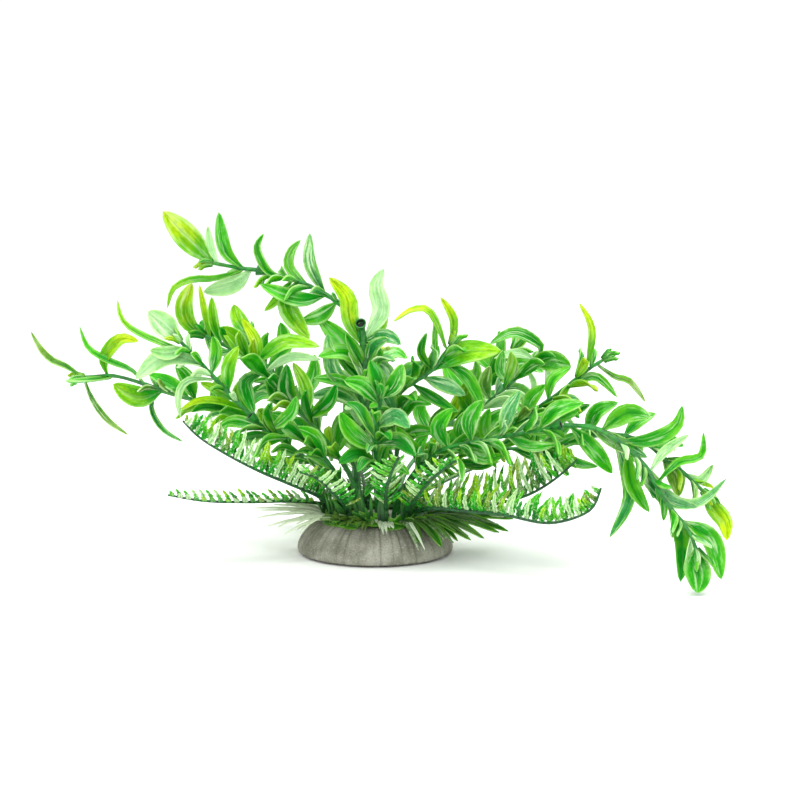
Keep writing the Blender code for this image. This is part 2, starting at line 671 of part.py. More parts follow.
def leaf(name, base, row):
    """A keeled blade from its place on the stem to its tip, tilted so that its face looks up."""
    route, lean, width, face = row
    flat = [Vector((*base[:2], 0.0))] + [Vector((*point, 0.0)) for point in route[1:]]
    spans = [(b - a).length for a, b in zip(flat, flat[1:])]
    total = sum(spans)
    points = [tuple(base)]
    for i, point in enumerate(flat[1:], 1):
        share = sum(spans[:i]) / total
        points.append((point.x, point.y, base[2] + lean * share))
    line = [place(point) for point in smooth_line(points, LEAF_FINENESS)]
    stations = BENT_STATIONS if len(route) > 3 else LEAF_STATIONS
    shares = [share for share, _ in stations]
    middles = evenly(line, shares + [1.0])
    rings = []
    turn = math.radians(face)
    whole = middles[-1] - middles[0]
    tilt = math.copysign(math.cos(turn), -whole.cross(EYE - middles[0]).z)
    for i, (share, wide) in enumerate(stations):
        along = (middles[i + 1] - middles[max(i - 1, 0)]).normalized()
        sight = (EYE - middles[i]).normalized()
        across = along.cross(sight).normalized()
        toward = across.cross(along).normalized()
        side = across * math.sin(turn) + toward * tilt
        back = side.cross(along).normalized()
        half = max(width * MM * wide / 2, LEAST_HALF_WIDTH)
        keel = back * LEAF_KEEL * (1.0 - LEAF_KEEL_FADE * share)
        top = middles[i] - back * LEAF_TOP
        rings.append((top - side * half, top + side * half, top + keel))
    return loft(name, rings, middles[-1])


def nearest(line, point):
    """The picture point of a stem's line that looks nearest to this one."""
    shares = [i / NEAREST_FINENESS for i in range(NEAREST_FINENESS)]
    spots = [picture(a.lerp(b, share)) for a, b in zip(line, line[1:]) for share in shares]
    return min(spots, key=lambda spot: math.dist(spot[:2], point))


def union(name, pieces, plant):
    """The pieces fused into one body."""
    body, others = pieces[0], pieces[1:]
    body.name = name
    helpers = bpy.data.collections.new(name + "_pieces")
    bpy.context.scene.collection.children.link(helpers)
    for piece in others:
        helpers.objects.link(piece)
    plant.objects.link(body)
    fuse = body.modifiers.new("fuse", "BOOLEAN")
    fuse.operation = "UNION"
    fuse.operand_type = "COLLECTION"
    fuse.collection = helpers
    fuse.solver = "MANIFOLD" if name in GRAZING else "EXACT"
    graph = bpy.context.evaluated_depsgraph_get()
    mesh = bpy.data.meshes.new_from_object(body.evaluated_get(graph))
    body.modifiers.remove(fuse)
    body.data = mesh
    mesh.name = name
    for piece in others:
        bpy.data.objects.remove(piece)
    bpy.data.collections.remove(helpers)
    return body


def finish(body, look):
    body.data.materials.clear()
    body.data.materials.append(look)
    for face in body.data.polygons:
        face.use_smooth = False
    return body


def stem_radii(count, root, tip):
    return [root + (tip - root) * (i / (count - 1)) ** STEM_TAPER for i in range(count)]


def spray(name, line, leaves, look, plant, root=STEM_RADIUS, end=STEM_TIP_RADIUS, cup=False, extra=()):
    """A moulded stem with its leaves, and with a cup at its end where the next length plugs in."""
    pieces = [tube(name + "_stem", line, stem_radii(len(line), root, end))]
    if cup:
        direction = (line[-1] - line[-2]).normalized()
        pieces.append(socket(name + "_cup", line[-1] + direction * CUP_AHEAD, direction))
    for i, row in enumerate(leaves):
        pieces.append(leaf(f"{name}_leaf_{i}", nearest(line, row[0][0]), row))
    pieces.extend(extra)
    return finish(union(name, pieces, plant), look)


def make_trunk(look, plant):
    """The thick trunk: its head is an open socket that faces forward, with a smaller one to its left."""
    line = stem_line(footed(HOLES["trunk"], TRUNK_ROUTE), True)
    head = line[-1]
    extra = [socket("trunk_head", head + HEAD_FACING * HEAD_REACH, HEAD_FACING, HEAD_BORE)]
    start = place(ARM_START)
    end = place(TOP_LEFT_ROUTE[0])
    away = (place(TOP_LEFT_ROUTE[1]) - end).normalized()
    arm = [start, start.lerp(end, 0.5), end - away * ARM_SHORT_BY]
    extra.append(tube("trunk_arm", arm, [STEM_RADIUS] * len(arm)))
    extra.append(socket("trunk_arm_cup", end + away * CUP_AHEAD, away))
    return spray("trunk", line, TRUNK_LEAVES, look, plant, TRUNK_RADIUS, TRUNK_TIP_RADIUS, extra=extra)


def plugged(route):
    """A route that starts a little inside the socket it plugs into."""
    first, second = place(route[0]), place(route[1])
    direction = (second - first).normalized()
    return stem_line([picture(first + direction * PLAY)] + route[1:], False)


def make_foot(look, plant, cutters):
    """The cast disc: a turned body with radial grooves in its side, and a hole for each stem."""
    mesh = bpy.data.meshes.new("base_disc")
    edges = [(i, i + 1) for i in range(len(FOOT_PROFILE) - 1)]
    mesh.from_pydata([(r * MM, 0.0, z * MM) for r, z in FOOT_PROFILE], edges, [])
    body = bpy.data.objects.new("base_disc", mesh)
    plant.objects.link(body)
    turn = body.modifiers.new("turn", "SCREW")
    turn.steps = FOOT_STEPS
    turn.render_steps = FOOT_STEPS
    turn.use_merge_vertices = True
    turn.merge_threshold = SCREW_MERGE
    graph = bpy.context.evaluated_depsgraph_get()
    turned = bpy.data.meshes.new_from_object(body.evaluated_get(graph))
    body.modifiers.remove(turn)
    body.data = turned
    cut_grooves(turned)
    stands = [(hole, TRUNK_RADIUS if key == "trunk" else STEM_RADIUS) for key, hole in HOLES.items()]
    stands += [(frond[0], FROND_RADIUS) for frond in FRONDS.values()]
    for i, (hole, radius) in enumerate(stands):
        cut_hole(body, hole, (radius + PLAY) / math.cos(math.pi / HOLE_SIDES), i, cutters)
    return finish(body, look)


def cut_grooves(mesh):
    """Presses in every other column of the side, and the column after now and then less."""
    for vertex in mesh.vertices:
        radius = math.hypot(vertex.co.x, vertex.co.y)
        if radius < GROOVED_FROM_RADIUS or vertex.co.z < GROOVED_ABOVE:
            continue
        column = round(math.atan2(vertex.co.y, vertex.co.x) / (2 * math.pi) * FOOT_STEPS)
        varied = GROOVE_LEAST_SHARE + (1.0 - GROOVE_LEAST_SHARE) * math.sin(column * GROOVE_RHYTHM)
        depth = GROOVE_DEPTH * varied * (column % 2)
        vertex.co.x *= 1.0 - depth / radius
        vertex.co.y *= 1.0 - depth / radius


def cut_hole(body, hole, radius, index, cutters):
    x, near = hole
    middle = Vector((x * MM, -near * MM, 0.0))
    up = Vector((0.0, 0.0, 1.0))
    low = middle + up * (FOOT_HEIGHT - HOLE_DEPTH)
    high = middle + up * (FOOT_HEIGHT + HOLE_CUTTER_ABOVE)
    cutter = loft(f"hole_{index}", [circle(end, up, radius, HOLE_SIDES) for end in (low, high)])
    cutter.hide_render = True
    cutter.display_type = "WIRE"
    cutters.objects.link(cutter)
    cut = body.modifiers.new(f"hole_{index}", "BOOLEAN")
    cut.operation = "DIFFERENCE"
    cut.object = cutter
    cut.solver = "EXACT"


def comb(name, line, ups, radii, teeth):
    """A four-sided bar with teeth drawn out of its upper faces: teeth(i, side) is a tip or None."""
    bm = bmesh.new()
    rows = []
    for i, middle in enumerate(line):
        along = (line[min(i + 1, len(line) - 1)] - line[max(i - 1, 0)]).normalized()
        up = (ups[i] - along * ups[i].dot(along)).normalized()
        side = along.cross(up).normalized()
        rows.append([bm.verts.new(middle + arm * radii[i]) for arm in (up, side, -up, -side)])
    for i, (row, following) in enumerate(zip(rows, rows[1:])):
        for k in range(4):
            corners = (row[k], row[(k + 1) % 4], following[(k + 1) % 4], following[k])
            tip = teeth(i, {0: 1, 3: -1}[k]) if k in (0, 3) else None
            if tip is None:
                bm.faces.new(corners)
                continue
            point = bm.verts.new(tip)
            for a, b in zip(corners, corners[1:] + corners[:1]):
                bm.faces.new((a, b, point))
    bm.faces.new(reversed(rows[0]))
    bm.faces.new(rows[-1])
    bmesh.ops.recalc_face_normals(bm, faces=bm.faces)
    mesh = bpy.data.meshes.new(name)
    bm.to_mesh(mesh)
    bm.free()
    return bpy.data.objects.new(name, mesh)


def make_frond(name, hole, route, longest, opening, look, plant):
    """A fern frond: its rachis stands in the foot and carries two rows of leaflets."""
    whole = footed(hole, route)
    fine = [place(point) for point in smooth_line(whole[1:], FROND_FINENESS)]
    length = sum((b - a).length for a, b in zip(fine, fine[1:]))
    count = round(length / FROND_PITCH)
    line = [place(whole[0])] + evenly(fine, [i / count for i in range(count + 1)])
    count += 1
    radii = [FROND_RADIUS * (1.0 - FROND_TAPER * i / count) for i in range(count + 1)]
    far = line[SETTLED_SECTION]
    inward = Vector((-far.x, -far.y, STEEP_TILT))
    ups = [inward if i < STEEP_SECTIONS else Vector((0.0, 0.0, 1.0)) for i in range(count + 1)]
    bare = BARE_SECTIONS + round(BARE_SHARE * count)

    def leaflet(i, side):
        if i < bare:
            return None
        share = (i + 0.5 - bare) / (count - bare)
        reach = longest * MM * (FIRST_LEAFLET + LEAFLET_GROWTH * share) * math.sqrt(1.0 - share**LEAFLET_FALL)
        along = (line[i + 1] - line[i]).normalized()
        up = (ups[i] - along * ups[i].dot(along)).normalized()
        out = along.cross(up).normalized() * side
        turn = math.radians(opening)
        middle = (line[i] + line[i + 1]) / 2
        opened = up * math.cos(turn) + out * math.sin(turn) + along * LEAFLET_LEAN
        return middle + opened * max(reach, LEAST_LEAFLET)

    body = comb(name, line, ups, radii, leaflet)
    plant.objects.link(body)
    return finish(body, look)


def make_needles(name, arc, reach, rise, count, look, plant):
    """Part of the ground rosette: a strip that lies round the stems, with long needle leaves."""
    turns = [math.radians(arc[0] + (arc[1] - arc[0]) * i / count) for i in range(count + 1)]
    middles = [Vector((math.cos(t), math.sin(t), 0.0)) * COLLAR_RADIUS for t in turns]
    line = [middle + Vector((0.0, 0.0, COLLAR_HEIGHT)) for middle in middles]

    def needle(i, side):
        if side < 0:
            return None
        share = i / (count - 1)
        out = (middles[i] + middles[i + 1]).normalized()
        length = (reach[0] + (reach[1] - reach[0]) * share) * (1.0 - SECOND_NEEDLE_SHORTER * (i % 2)) * MM
        lift = (rise[0] + (rise[1] - rise[0]) * share + SECOND_NEEDLE_HIGHER * (i % 2)) * MM
        return (line[i] + line[i + 1]) / 2 + out * length + Vector((0.0, 0.0, lift))

    ups = [Vector((0.0, 0.0, 1.0))] * len(line)
    body = comb(name, line, ups, [COLLAR_THICKNESS] * len(line), needle)
    plant.objects.link(body)
    return finish(body, look)


def make_sprays(looks, plant):
    deep, green, yellow, blue = (looks[key] for key in ("deep", "green", "yellow", "blue"))
    make_trunk(deep, plant)
    spray("top_left_spray", plugged(TOP_LEFT_ROUTE), TOP_LEFT_LEAVES, green, plant, cup=True)
    spray("top_left_tip", plugged(TOP_LEFT_TIP_ROUTE), TOP_LEFT_TIP_LEAVES, yellow, plant)
    standing = (
        ("left_spray", "left", LEFT_ROUTE, LEFT_LEAVES, green, True),
        ("far_left_spray", "far_left", FAR_LEFT_ROUTE, FAR_LEFT_LEAVES, deep, True),
        ("left_centre_spray", "left_centre", LEFT_CENTRE_ROUTE, LEFT_CENTRE_LEAVES, green, False),
        ("upper_centre_spray", "upper_centre", UPPER_CENTRE_ROUTE, UPPER_CENTRE_LEAVES, green, False),
        ("right_centre_spray", "right_centre", RIGHT_CENTRE_ROUTE, RIGHT_CENTRE_LEAVES, blue, False),
        ("right_spray", "right", RIGHT_ROUTE, RIGHT_LEAVES, green, False),
        ("right_outer_spray", "right_outer", RIGHT_OUTER_ROUTE, RIGHT_OUTER_LEAVES, deep, True),
        ("drooping_spray", "drooping", DROOPING_ROUTE, DROOPING_LEAVES, green, True),
        ("front_spray", "front", FRONT_ROUTE, FRONT_LEAVES, deep, False),
        ("back_left_spray", "back_left", BACK_LEFT_ROUTE, BACK_LEFT_LEAVES, green, False),
        ("back_spray", "back", BACK_ROUTE, BACK_LEAVES, deep, False),
        ("back_right_spray", "back_right", BACK_RIGHT_ROUTE, BACK_RIGHT_LEAVES, green, False),
    )
    for name, hole, route, leaves, look, cup in standing:
        spray(name, stem_line(footed(HOLES[hole], route), True), leaves, look, plant, cup=cup)
    spray("left_spray_tip", plugged(LEFT_TIP_ROUTE), LEFT_TIP_LEAVES, green, plant)
    spray("far_left_tip", plugged(FAR_LEFT_TIP_ROUTE), FAR_LEFT_TIP_LEAVES, blue, plant)
    spray("right_outer_tip", plugged(RIGHT_OUTER_TIP_ROUTE), RIGHT_OUTER_TIP_LEAVES, yellow, plant)
    spray("drooping_tip", plugged(DROOPING_TIP_ROUTE), DROOPING_TIP_LEAVES, blue, plant)


def make_plant():
    clear_scene()
    plant, cutters = plant_collections()
    looks = {
        "deep": material("deep_green_plastic", DEEP_GREEN, SATIN),
        "green": material("green_plastic", GREEN, SATIN),
        "yellow": material("yellow_green_plastic", YELLOW_GREEN, SATIN),
        "blue": material("blue_green_plastic", BLUE_GREEN, SOFT_SATIN),
        "pale": material("pale_green_plastic", PALE_GREEN, FROSTED),
        "stone": material("cast_stone", STONE, ROUGH_CAST),
    }
    make_foot(looks["stone"], plant, cutters)
    make_sprays(looks, plant)
    for name, (hole, route, longest, opening) in FRONDS.items():
        make_frond(name, hole, route, longest, opening, looks["green"], plant)
    for name, (arc, reach, rise, count) in NEEDLES.items():
        make_needles(name, arc, reach, rise, count, looks["pale"], plant)


make_plant()
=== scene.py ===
# %% [markdown]
# # A moulded aquarium plant, dressed leaf by leaf
#
# The real object is a soft plastic plant: long sprays of lance-shaped leaves, a few fern fronds and a
# ground rosette of needles, all plugged into a low cast disc. The imported solids fix where every piece
# is and how big it is. This lesson gives each of them its real surface: thin veined blades in place of
# the plain keeled ones, toothed leaflets, frosted needles and a rough cast foot.

# %% Load the solids
import math
import random

import bpy
import numpy as np
from mathutils import Matrix, Vector


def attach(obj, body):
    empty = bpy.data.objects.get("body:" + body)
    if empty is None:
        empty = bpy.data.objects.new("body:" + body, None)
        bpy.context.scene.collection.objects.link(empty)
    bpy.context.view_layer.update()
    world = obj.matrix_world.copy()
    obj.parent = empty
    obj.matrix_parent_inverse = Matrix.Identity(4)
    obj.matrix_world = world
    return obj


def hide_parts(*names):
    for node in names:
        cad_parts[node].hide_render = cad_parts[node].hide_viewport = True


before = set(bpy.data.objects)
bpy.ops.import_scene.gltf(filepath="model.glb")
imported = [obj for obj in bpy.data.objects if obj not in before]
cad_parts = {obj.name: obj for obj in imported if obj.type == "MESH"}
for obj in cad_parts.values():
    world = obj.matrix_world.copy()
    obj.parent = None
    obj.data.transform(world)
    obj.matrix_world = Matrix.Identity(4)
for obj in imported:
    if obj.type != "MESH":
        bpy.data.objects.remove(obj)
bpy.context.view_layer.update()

MM = 0.001


# %% [markdown]
# ## The view that everything was read on
#
# The plant was measured on one front view, 0.4 mm for each step across and down. A point of that view
# is a line of sight, and a third number, how near the point is to the viewer in mm, picks the place on
# it. The solids were laid out with the same rule, so a leaf drawn with it here lands on its solid.
# Keeping one rule for both is safer than measuring the solids again.

# %% Turn picture points into places
STEP = 0.4 * MM
PICTURE_SIDE = 800
MIDDLE = PICTURE_SIDE / 2
VIEW_TILT = math.radians(8.0)
VIEW_DISTANCE = 0.850
AIM = Vector((0.010, 0.0, 0.0617))
VIEW_UP = Vector((0.0, math.sin(VIEW_TILT), math.cos(VIEW_TILT)))
VIEW_BACK = Vector((0.0, -math.cos(VIEW_TILT), math.sin(VIEW_TILT)))
EYE = AIM + VIEW_BACK * VIEW_DISTANCE


def place(point):
    """The place in the room of a picture point (across, down, near)."""
    across, down, near = point
    on_plane = AIM + Vector(((across - MIDDLE) * STEP, 0.0, 0.0)) + VIEW_UP * ((MIDDLE - down) * STEP)
    sight = on_plane - EYE
    return EYE + sight * ((-near * MM - EYE.y) / sight.y)


def picture(position):
    """The picture point of a place in the room."""
    sight = position - EYE
    depth = -sight.dot(VIEW_BACK)
    across = MIDDLE + sight.x * VIEW_DISTANCE / depth / STEP
    down = MIDDLE - sight.dot(VIEW_UP) * VIEW_DISTANCE / depth / STEP
    return (across, down, -position.y / MM)


print("the eye stands at", [round(v, 3) for v in EYE])

# %% [markdown]
# ## Camera, light and floor
#
# A small object like this is photographed in a light tent: white all round, one broad light above and
# one in front. A white world gives the tent, and two large area lights give the leaves their soft
# highlights. The lens is long, so the near leaves aren't blown up. The floor is white paper.


# %% Set the camera
SENSOR = 36.0


def put_in_scene(name, data):
    made = bpy.data.objects.new(name, data)
    bpy.context.scene.collection.objects.link(made)
    return made


camera_data = bpy.data.cameras.new("front_camera")
camera_data.sensor_width = SENSOR
camera_data.lens = SENSOR * VIEW_DISTANCE / (PICTURE_SIDE * STEP)
camera = put_in_scene("front_camera", camera_data)
camera.location = EYE
camera.rotation_euler = (math.pi / 2 - VIEW_TILT, 0.0, 0.0)
bpy.context.scene.camera = camera
bpy.context.scene.view_settings.view_transform = "Standard"
print("lens in mm:", round(camera_data.lens, 1))

# %% Light the tent
TENT_WHITE = (1.0, 1.0, 1.0, 1.0)
TENT_STRENGTH = 1.07
# Each lamp: its place, the side of its square in m, and its power in W.
LAMPS = {"top_light": ((0.06, 0.06, 0.95), 0.70, 8.6), "front_light": ((-0.20, -1.00, 0.65), 0.60, 3.6)}
world = bpy.data.worlds.new("light_tent")
world.use_nodes = True
background = world.node_tree.nodes["Background"]
background.inputs["Color"].default_value = TENT_WHITE
background.inputs["Strength"].default_value = TENT_STRENGTH
bpy.context.scene.world = world
for name, (position, side, power) in LAMPS.items():
    data = bpy.data.lights.new(name, "AREA")
    data.shape = "SQUARE"
    data.size = side
    data.energy = power
    lamp = put_in_scene(name, data)
    lamp.location = position
    lamp.rotation_euler = (AIM - Vector(position)).to_track_quat("-Z", "Y").to_euler()
print("lamps:", ", ".join(LAMPS))


# %% Lay the floor
FLOOR_SIDE = 30.0
FLOOR_BELOW = 0.2 * MM


def select_only(*pieces):
    """Nothing but these pieces is selected, and the first of them is active."""
    bpy.ops.object.select_all(action="DESELECT")
    for piece in pieces:
        piece.select_set(True)
    bpy.context.view_layer.objects.active = pieces[0]


bpy.ops.object.select_all(action="DESELECT")
bpy.ops.mesh.primitive_plane_add(size=FLOOR_SIDE, location=(0.0, 0.0, -FLOOR_BELOW))
floor = bpy.context.active_object
floor.name = "paper_floor"
bpy.ops.object.transform_apply(location=True, rotation=True, scale=True)
print("floor:", floor.dimensions[:])

# %% [markdown]
# ## Writing materials as arithmetic
#
# A procedural material is sums and products of noise, stripes and position along a leaf. Wiring Math
# nodes by hand hides that, so one small class stands for a socket and takes + - * like a number. Each
# expression adds the Math nodes it needs. Colours are mixed with Mix nodes, never with Math.


# %% A socket that adds and multiplies like a number
class Level:
    """One output socket of a material, for shader arithmetic."""

    def __init__(self, paint, socket):
        self.paint = paint
        self.socket = socket

    def math_node(self, operation, first, second=None):
        return self.paint.node("ShaderNodeMath", {"operation": operation}, {0: first, 1: second})

    def __add__(self, other):
        return self.math_node("ADD", self, other)

    def __radd__(self, other):
        return self.math_node("ADD", other, self)

    def __sub__(self, other):
        return self.math_node("SUBTRACT", self, other)

    def __rsub__(self, other):
        return self.math_node("SUBTRACT", other, self)

    def __mul__(self, other):
        return self.math_node("MULTIPLY", self, other)

    def __rmul__(self, other):
        return self.math_node("MULTIPLY", other, self)

    def wave(self):
        return self.math_node("SINE", self)

    def size(self):
        return self.math_node("ABSOLUTE", self)

    def step(self, low, high):
        """0 below low, 1 above high, and a smooth rise between them."""
        settings = {"interpolation_type": "SMOOTHSTEP"}
        return self.paint.node("ShaderNodeMapRange", settings, {0: self, 1: low, 2: high, 3: 0.0, 4: 1.0})


print("arithmetic for materials is ready")


# %% A material that nodes are added to
class Paint:
    """A material being mixed: its nodes, and the shader that they feed."""

    def __init__(self, name):
        self.material = bpy.data.materials.new(name)
        self.material.use_nodes = True
        self.tree = self.material.node_tree
        self.shader = self.tree.nodes["Principled BSDF"]

    def feed(self, socket, value):
        if isinstance(value, Level):
            self.tree.links.new(value.socket, socket)
        elif socket.type == "RGBA":
            socket.default_value = (*value, 1.0)
        else:
            socket.default_value = value

    def node(self, kind, settings, inputs, output=0):
        made = self.tree.nodes.new(kind)
        for key, value in settings.items():
            setattr(made, key, value)
        for key, value in inputs.items():
            if value is not None:
                self.feed(made.inputs[key], value)
        return Level(self, made.outputs[output])

    def set(self, **values):
        """Feeds the shader's own sockets, written with _ for each space."""
        for key, value in values.items():
            self.feed(self.shader.inputs[key.replace("_", " ")], value)

    def spot(self):
        return self.node("ShaderNodeTexCoord", {}, {}, "Object")

    def noise(self, scale, detail=2.0, roughness=0.5, at=None):
        inputs = {"Vector": at or self.spot(), "Scale": scale, "Detail": detail, "Roughness": roughness}
        return self.node("ShaderNodeTexNoise", {}, inputs)

    def mix(self, share, first, second):
        return self.node("ShaderNodeMix", {"data_type": "RGBA"}, {0: share, 6: first, 7: second}, 2)

    def coats(self, tone, *coats):
        """Mixes coats over a colour, one on another. Each is a share and a colour."""
        for share, colour in coats:
            tone = self.mix(share, tone, colour)
        return tone

    def attribute(self, name, output="Fac"):
        return self.node("ShaderNodeAttribute", {"attribute_name": name}, {}, output)

    def dye(self, share):
        """The blade's own colour, from its root's tint at 0 to its tip's at 1."""
        return self.mix(share, self.attribute("root_tint", "Color"), self.attribute("tip_tint", "Color"))

    def map(self):
        return self.node("ShaderNodeUVMap", {"uv_map": "UVMap"}, {})

    def along(self):
        """How far along its blade a point is, 0 at the root and 1 at the tip."""
        return self.node("ShaderNodeSeparateXYZ", {}, {0: self.map()})

    def across(self):
        """How far a point is from its blade's midrib, up to 1 at the edge."""
        return (self.node("ShaderNodeSeparateXYZ", {}, {0: self.map()}, 1) * 2.0 - 1.0).size()

    def bump(self, height, strength, distance):
        inputs = {"Height": height, "Strength": strength, "Distance": distance}
        self.feed(self.shader.inputs["Normal"], self.node("ShaderNodeBump", {}, inputs))


def ink(*levels):
    """A colour read on a screen, 0 to 255, as the linear light that shaders take."""
    return tuple((v / 255 / 12.92) if v <= 10 else ((v / 255 + 0.055) / 1.055) ** 2.4 for v in levels)


PAPER_GREY = ink(250, 250, 250)
PAPER_WHITE = ink(253, 253, 253)
paper = Paint("paper_white")
paper.set(Base_Color=paper.mix(paper.noise(30.0), PAPER_GREY, PAPER_WHITE), Roughness=0.9)
floor.data.materials.append(paper.material)
print("paper grey, linear:", [round(v, 3) for v in PAPER_GREY])

# %% [markdown]
# ## The blade material
#
# A moulded leaf is dyed in the mould: deep green at its root, lighter or yellower towards its tip. Some
# leaves carry a painted pale sheen for the light their gloss reflects. The midrib is a darker line, side
# veins show as faint ridges and fine streaks run along the grain; paler streaks and a pale rim are painted
# highlights. Every leaf carries its own colours as attributes, so one material serves them all, and its UV
# map says how far along and across the blade a point is.

# %% Mix the blade material
DARK_GREEN = (0.0, 0.16, 0.006)
RIB_GREEN = (0.0, 0.11, 0.006)
VEIN_GREEN = (0.02, 0.18, 0.01)
SIDE_VEINS = 9.0
SOFT_GLOSS = 0.14
blade = Paint("moulded_leaf")
along = blade.along()
across = blade.across()
mottle = blade.noise(420.0, 3.0, 0.6)
drift = blade.node("ShaderNodeVectorMath", {"operation": "SCALE"}, {0: blade.spot(), 3: 70.0})
grain_parts = {0: blade.map(), 1: (1.2, 5.5, 0.0), 2: drift}
grain_at = blade.node("ShaderNodeVectorMath", {"operation": "MULTIPLY_ADD"}, grain_parts)
streak = blade.noise(1.0, 3.0, 0.6, grain_at)
cloud = blade.noise(120.0, 2.0)
# The blade's pale amount: painted sheen on the leaves, a frosted bloom on the rosette's broad leaves.
dust_and_sheen = blade.attribute("dust_and_sheen")
rib = 1.0 - across.step(0.03, 0.16)
vein_wave = ((along * SIDE_VEINS - across * 1.7) * (2 * math.pi)).wave()
side_vein = vein_wave.step(0.55, 1.0) * across.step(0.06, 0.3)
flush = (blade.noise(75.0, 2.0) + across * 0.35).step(0.62, 0.86)
# The band along the blade's edge takes a painted highlight; it and the pale streaks grow with the leaf's
# sheen.
rim = (across + (mottle - 0.5) * 0.5 + (cloud - 0.5) * 0.9).step(0.70, 1.02)
sheen_strength = dust_and_sheen * 1.3 + 0.16
# A pale coat spread by noise: painted sheen on the leaves, a frosted bloom on the rosette's broad leaves.
dust_and_sheen_coat = (dust_and_sheen + (blade.noise(900.0, 2.0) - 0.5) * 0.35 + (cloud - 0.5) * 0.9).step(0.18, 0.95)
tone = blade.coats(
    blade.dye((along + (cloud - 0.5) * 0.8).step(0.15, 0.95)),
    ((1.0 - mottle.step(0.30, 0.60)) * 0.26, DARK_GREEN),
    ((1.0 - streak.step(0.34, 0.54)) * 0.5, ink(0, 124, 6)),
    (rib * 0.30, RIB_GREEN),
    (side_vein * 0.12, VEIN_GREEN),
    (flush * 0.42, ink(112, 190, 20)),
    # Painted highlights: the pale rim, then pale streaks of painted sheen along the grain.
    (rim * sheen_strength * 0.6, ink(212, 234, 166)),
    (streak.step(0.50, 0.68) * sheen_strength * 1.2, ink(206, 234, 182)),
    # Painted sheen on the leaves, frost on the rosette's broad leaves.
    (dust_and_sheen_coat * 0.66, ink(188, 226, 176)),
)
blade.set(Base_Color=tone, Roughness=0.30 + mottle * 0.16 + dust_and_sheen_coat * 0.22)
blade.set(Subsurface_Weight=0.18, Subsurface_Radius=(0.6, 1.0, 0.2), Subsurface_Scale=0.002)
blade.set(IOR=1.47, Specular_IOR_Level=SOFT_GLOSS)
blade.bump(side_vein * 0.35 - rib * 0.9 + mottle * 0.5, 0.45, 0.00035)
print("blade material has", len(blade.tree.nodes), "nodes")

# %% [markdown]
# ## Stem, fern and needle materials
#
# The stems are the same soft plastic, darker and a little streaked along the grain of the mould. The
# fern leaflets carry pale speckles. The rosette's needles look frosted: a chalky bloom over a grey
# green. Each is its own material, because each finish was a separate batch of plastic.


# %% Mix the stem material
def plain_paint(name, scale, detail, edges, inks, rough, bump):
    """A finish of one noise: it mixes two inks, roughens the surface and dents it."""
    paint = Paint(name)
    grain = paint.noise(scale, detail)
    tone = paint.mix(grain.step(*edges) if edges else grain, *inks)
    paint.set(Base_Color=tone, Roughness=rough[0] + grain * rough[1])
    paint.bump(grain, bump, 0.0002)
    return paint, tone


stalk, stalk_tone = plain_paint(
    "moulded_stem", 500.0, 3.0, (0.3, 0.7), (ink(8, 88, 24), ink(30, 138, 38)), (0.38, 0.14), 0.4
)
stalk.set(Base_Color=stalk.mix(stalk.noise(60.0).step(0.55, 0.8) * 0.5, stalk_tone, ink(78, 146, 52)))
fern_stalk, _ = plain_paint(
    "fern_stalk", 900.0, 2.0, (0.35, 0.65), (ink(2, 48, 18), ink(14, 92, 34)), (0.4, 0.2), 0.5
)
# The sockets' bores are lined near-black: painted shade inside the hollow.
bore_shade, _ = plain_paint(
    "socket_bore_shade", 700.0, 2.0, None, (ink(8, 22, 12), ink(20, 44, 24)), (0.45, 0.2), 0.3
)
print("stem, fern stalk and socket materials are mixed")

# %% Mix the fern material
fern = Paint("moulded_fern")
speckle = fern.noise(1100.0, 2.0, 0.7)
patch = fern.noise(70.0, 2.0)
midrib = 1.0 - fern.across().step(0.05, 0.3)
# A pale coat from the leaflet's tint: painted sheen, as on the leaves.
fern_dust_and_sheen_coat = (fern.attribute("dust_and_sheen") + (speckle - 0.5) * 0.8).step(0.2, 0.7)
fern_tone = fern.coats(
    fern.dye((fern.along() + (patch - 0.5) * 0.8).step(0.1, 0.9)),
    (fern_dust_and_sheen_coat * 0.5, ink(206, 230, 184)),
    (patch.step(0.50, 0.70) * 0.3, ink(150, 200, 50)),
    (speckle.step(0.54, 0.64) * 0.4, ink(222, 238, 198)),
    ((1.0 - speckle.step(0.36, 0.46)) * 0.4, ink(0, 66, 8)),
    (midrib * 0.5, ink(6, 60, 22)),
)
fern.set(Base_Color=fern_tone, Roughness=0.36 + speckle * 0.25, Specular_IOR_Level=SOFT_GLOSS)
fern.set(Subsurface_Weight=0.1, Subsurface_Radius=(0.6, 1.0, 0.3), Subsurface_Scale=0.0015)
fern.bump(speckle - midrib, 0.5, 0.0002)
print("fern material has", len(fern.tree.nodes), "nodes")

# %% Mix the needle material
frosted = Paint("frosted_needle")
chalk = frosted.noise(800.0, 3.0, 0.6)
needle_along = frosted.along()
frosting = (frosted.attribute("dust_and_sheen") + (chalk - 0.5) * 0.8 + needle_along * 0.25).step(0.35, 0.9)
needle_tone = frosted.dye((needle_along + (chalk - 0.5) * 0.6).step(0.1, 0.9))
needle_tone = frosted.mix(frosting * 0.8, needle_tone, ink(214, 226, 200))
frosted.set(Base_Color=needle_tone, Roughness=0.42 + chalk * 0.25)
frosted.bump(chalk, 0.4, 0.0002)
print("needle material has", len(frosted.tree.nodes), "nodes")

# %% [markdown]
# ## The cast foot's material
#
# The foot is a resin and stone cast: warm grey and finely speckled. Its grooves are darkened with painted
# shade, less towards the bottom, and a painted shadow darkens its lowest band. The grooves are modelled;
# grain and speckle are noise. A pointiness node would find the grooves too, but a height attribute painted
# on the mesh while it is shaped is steadier.

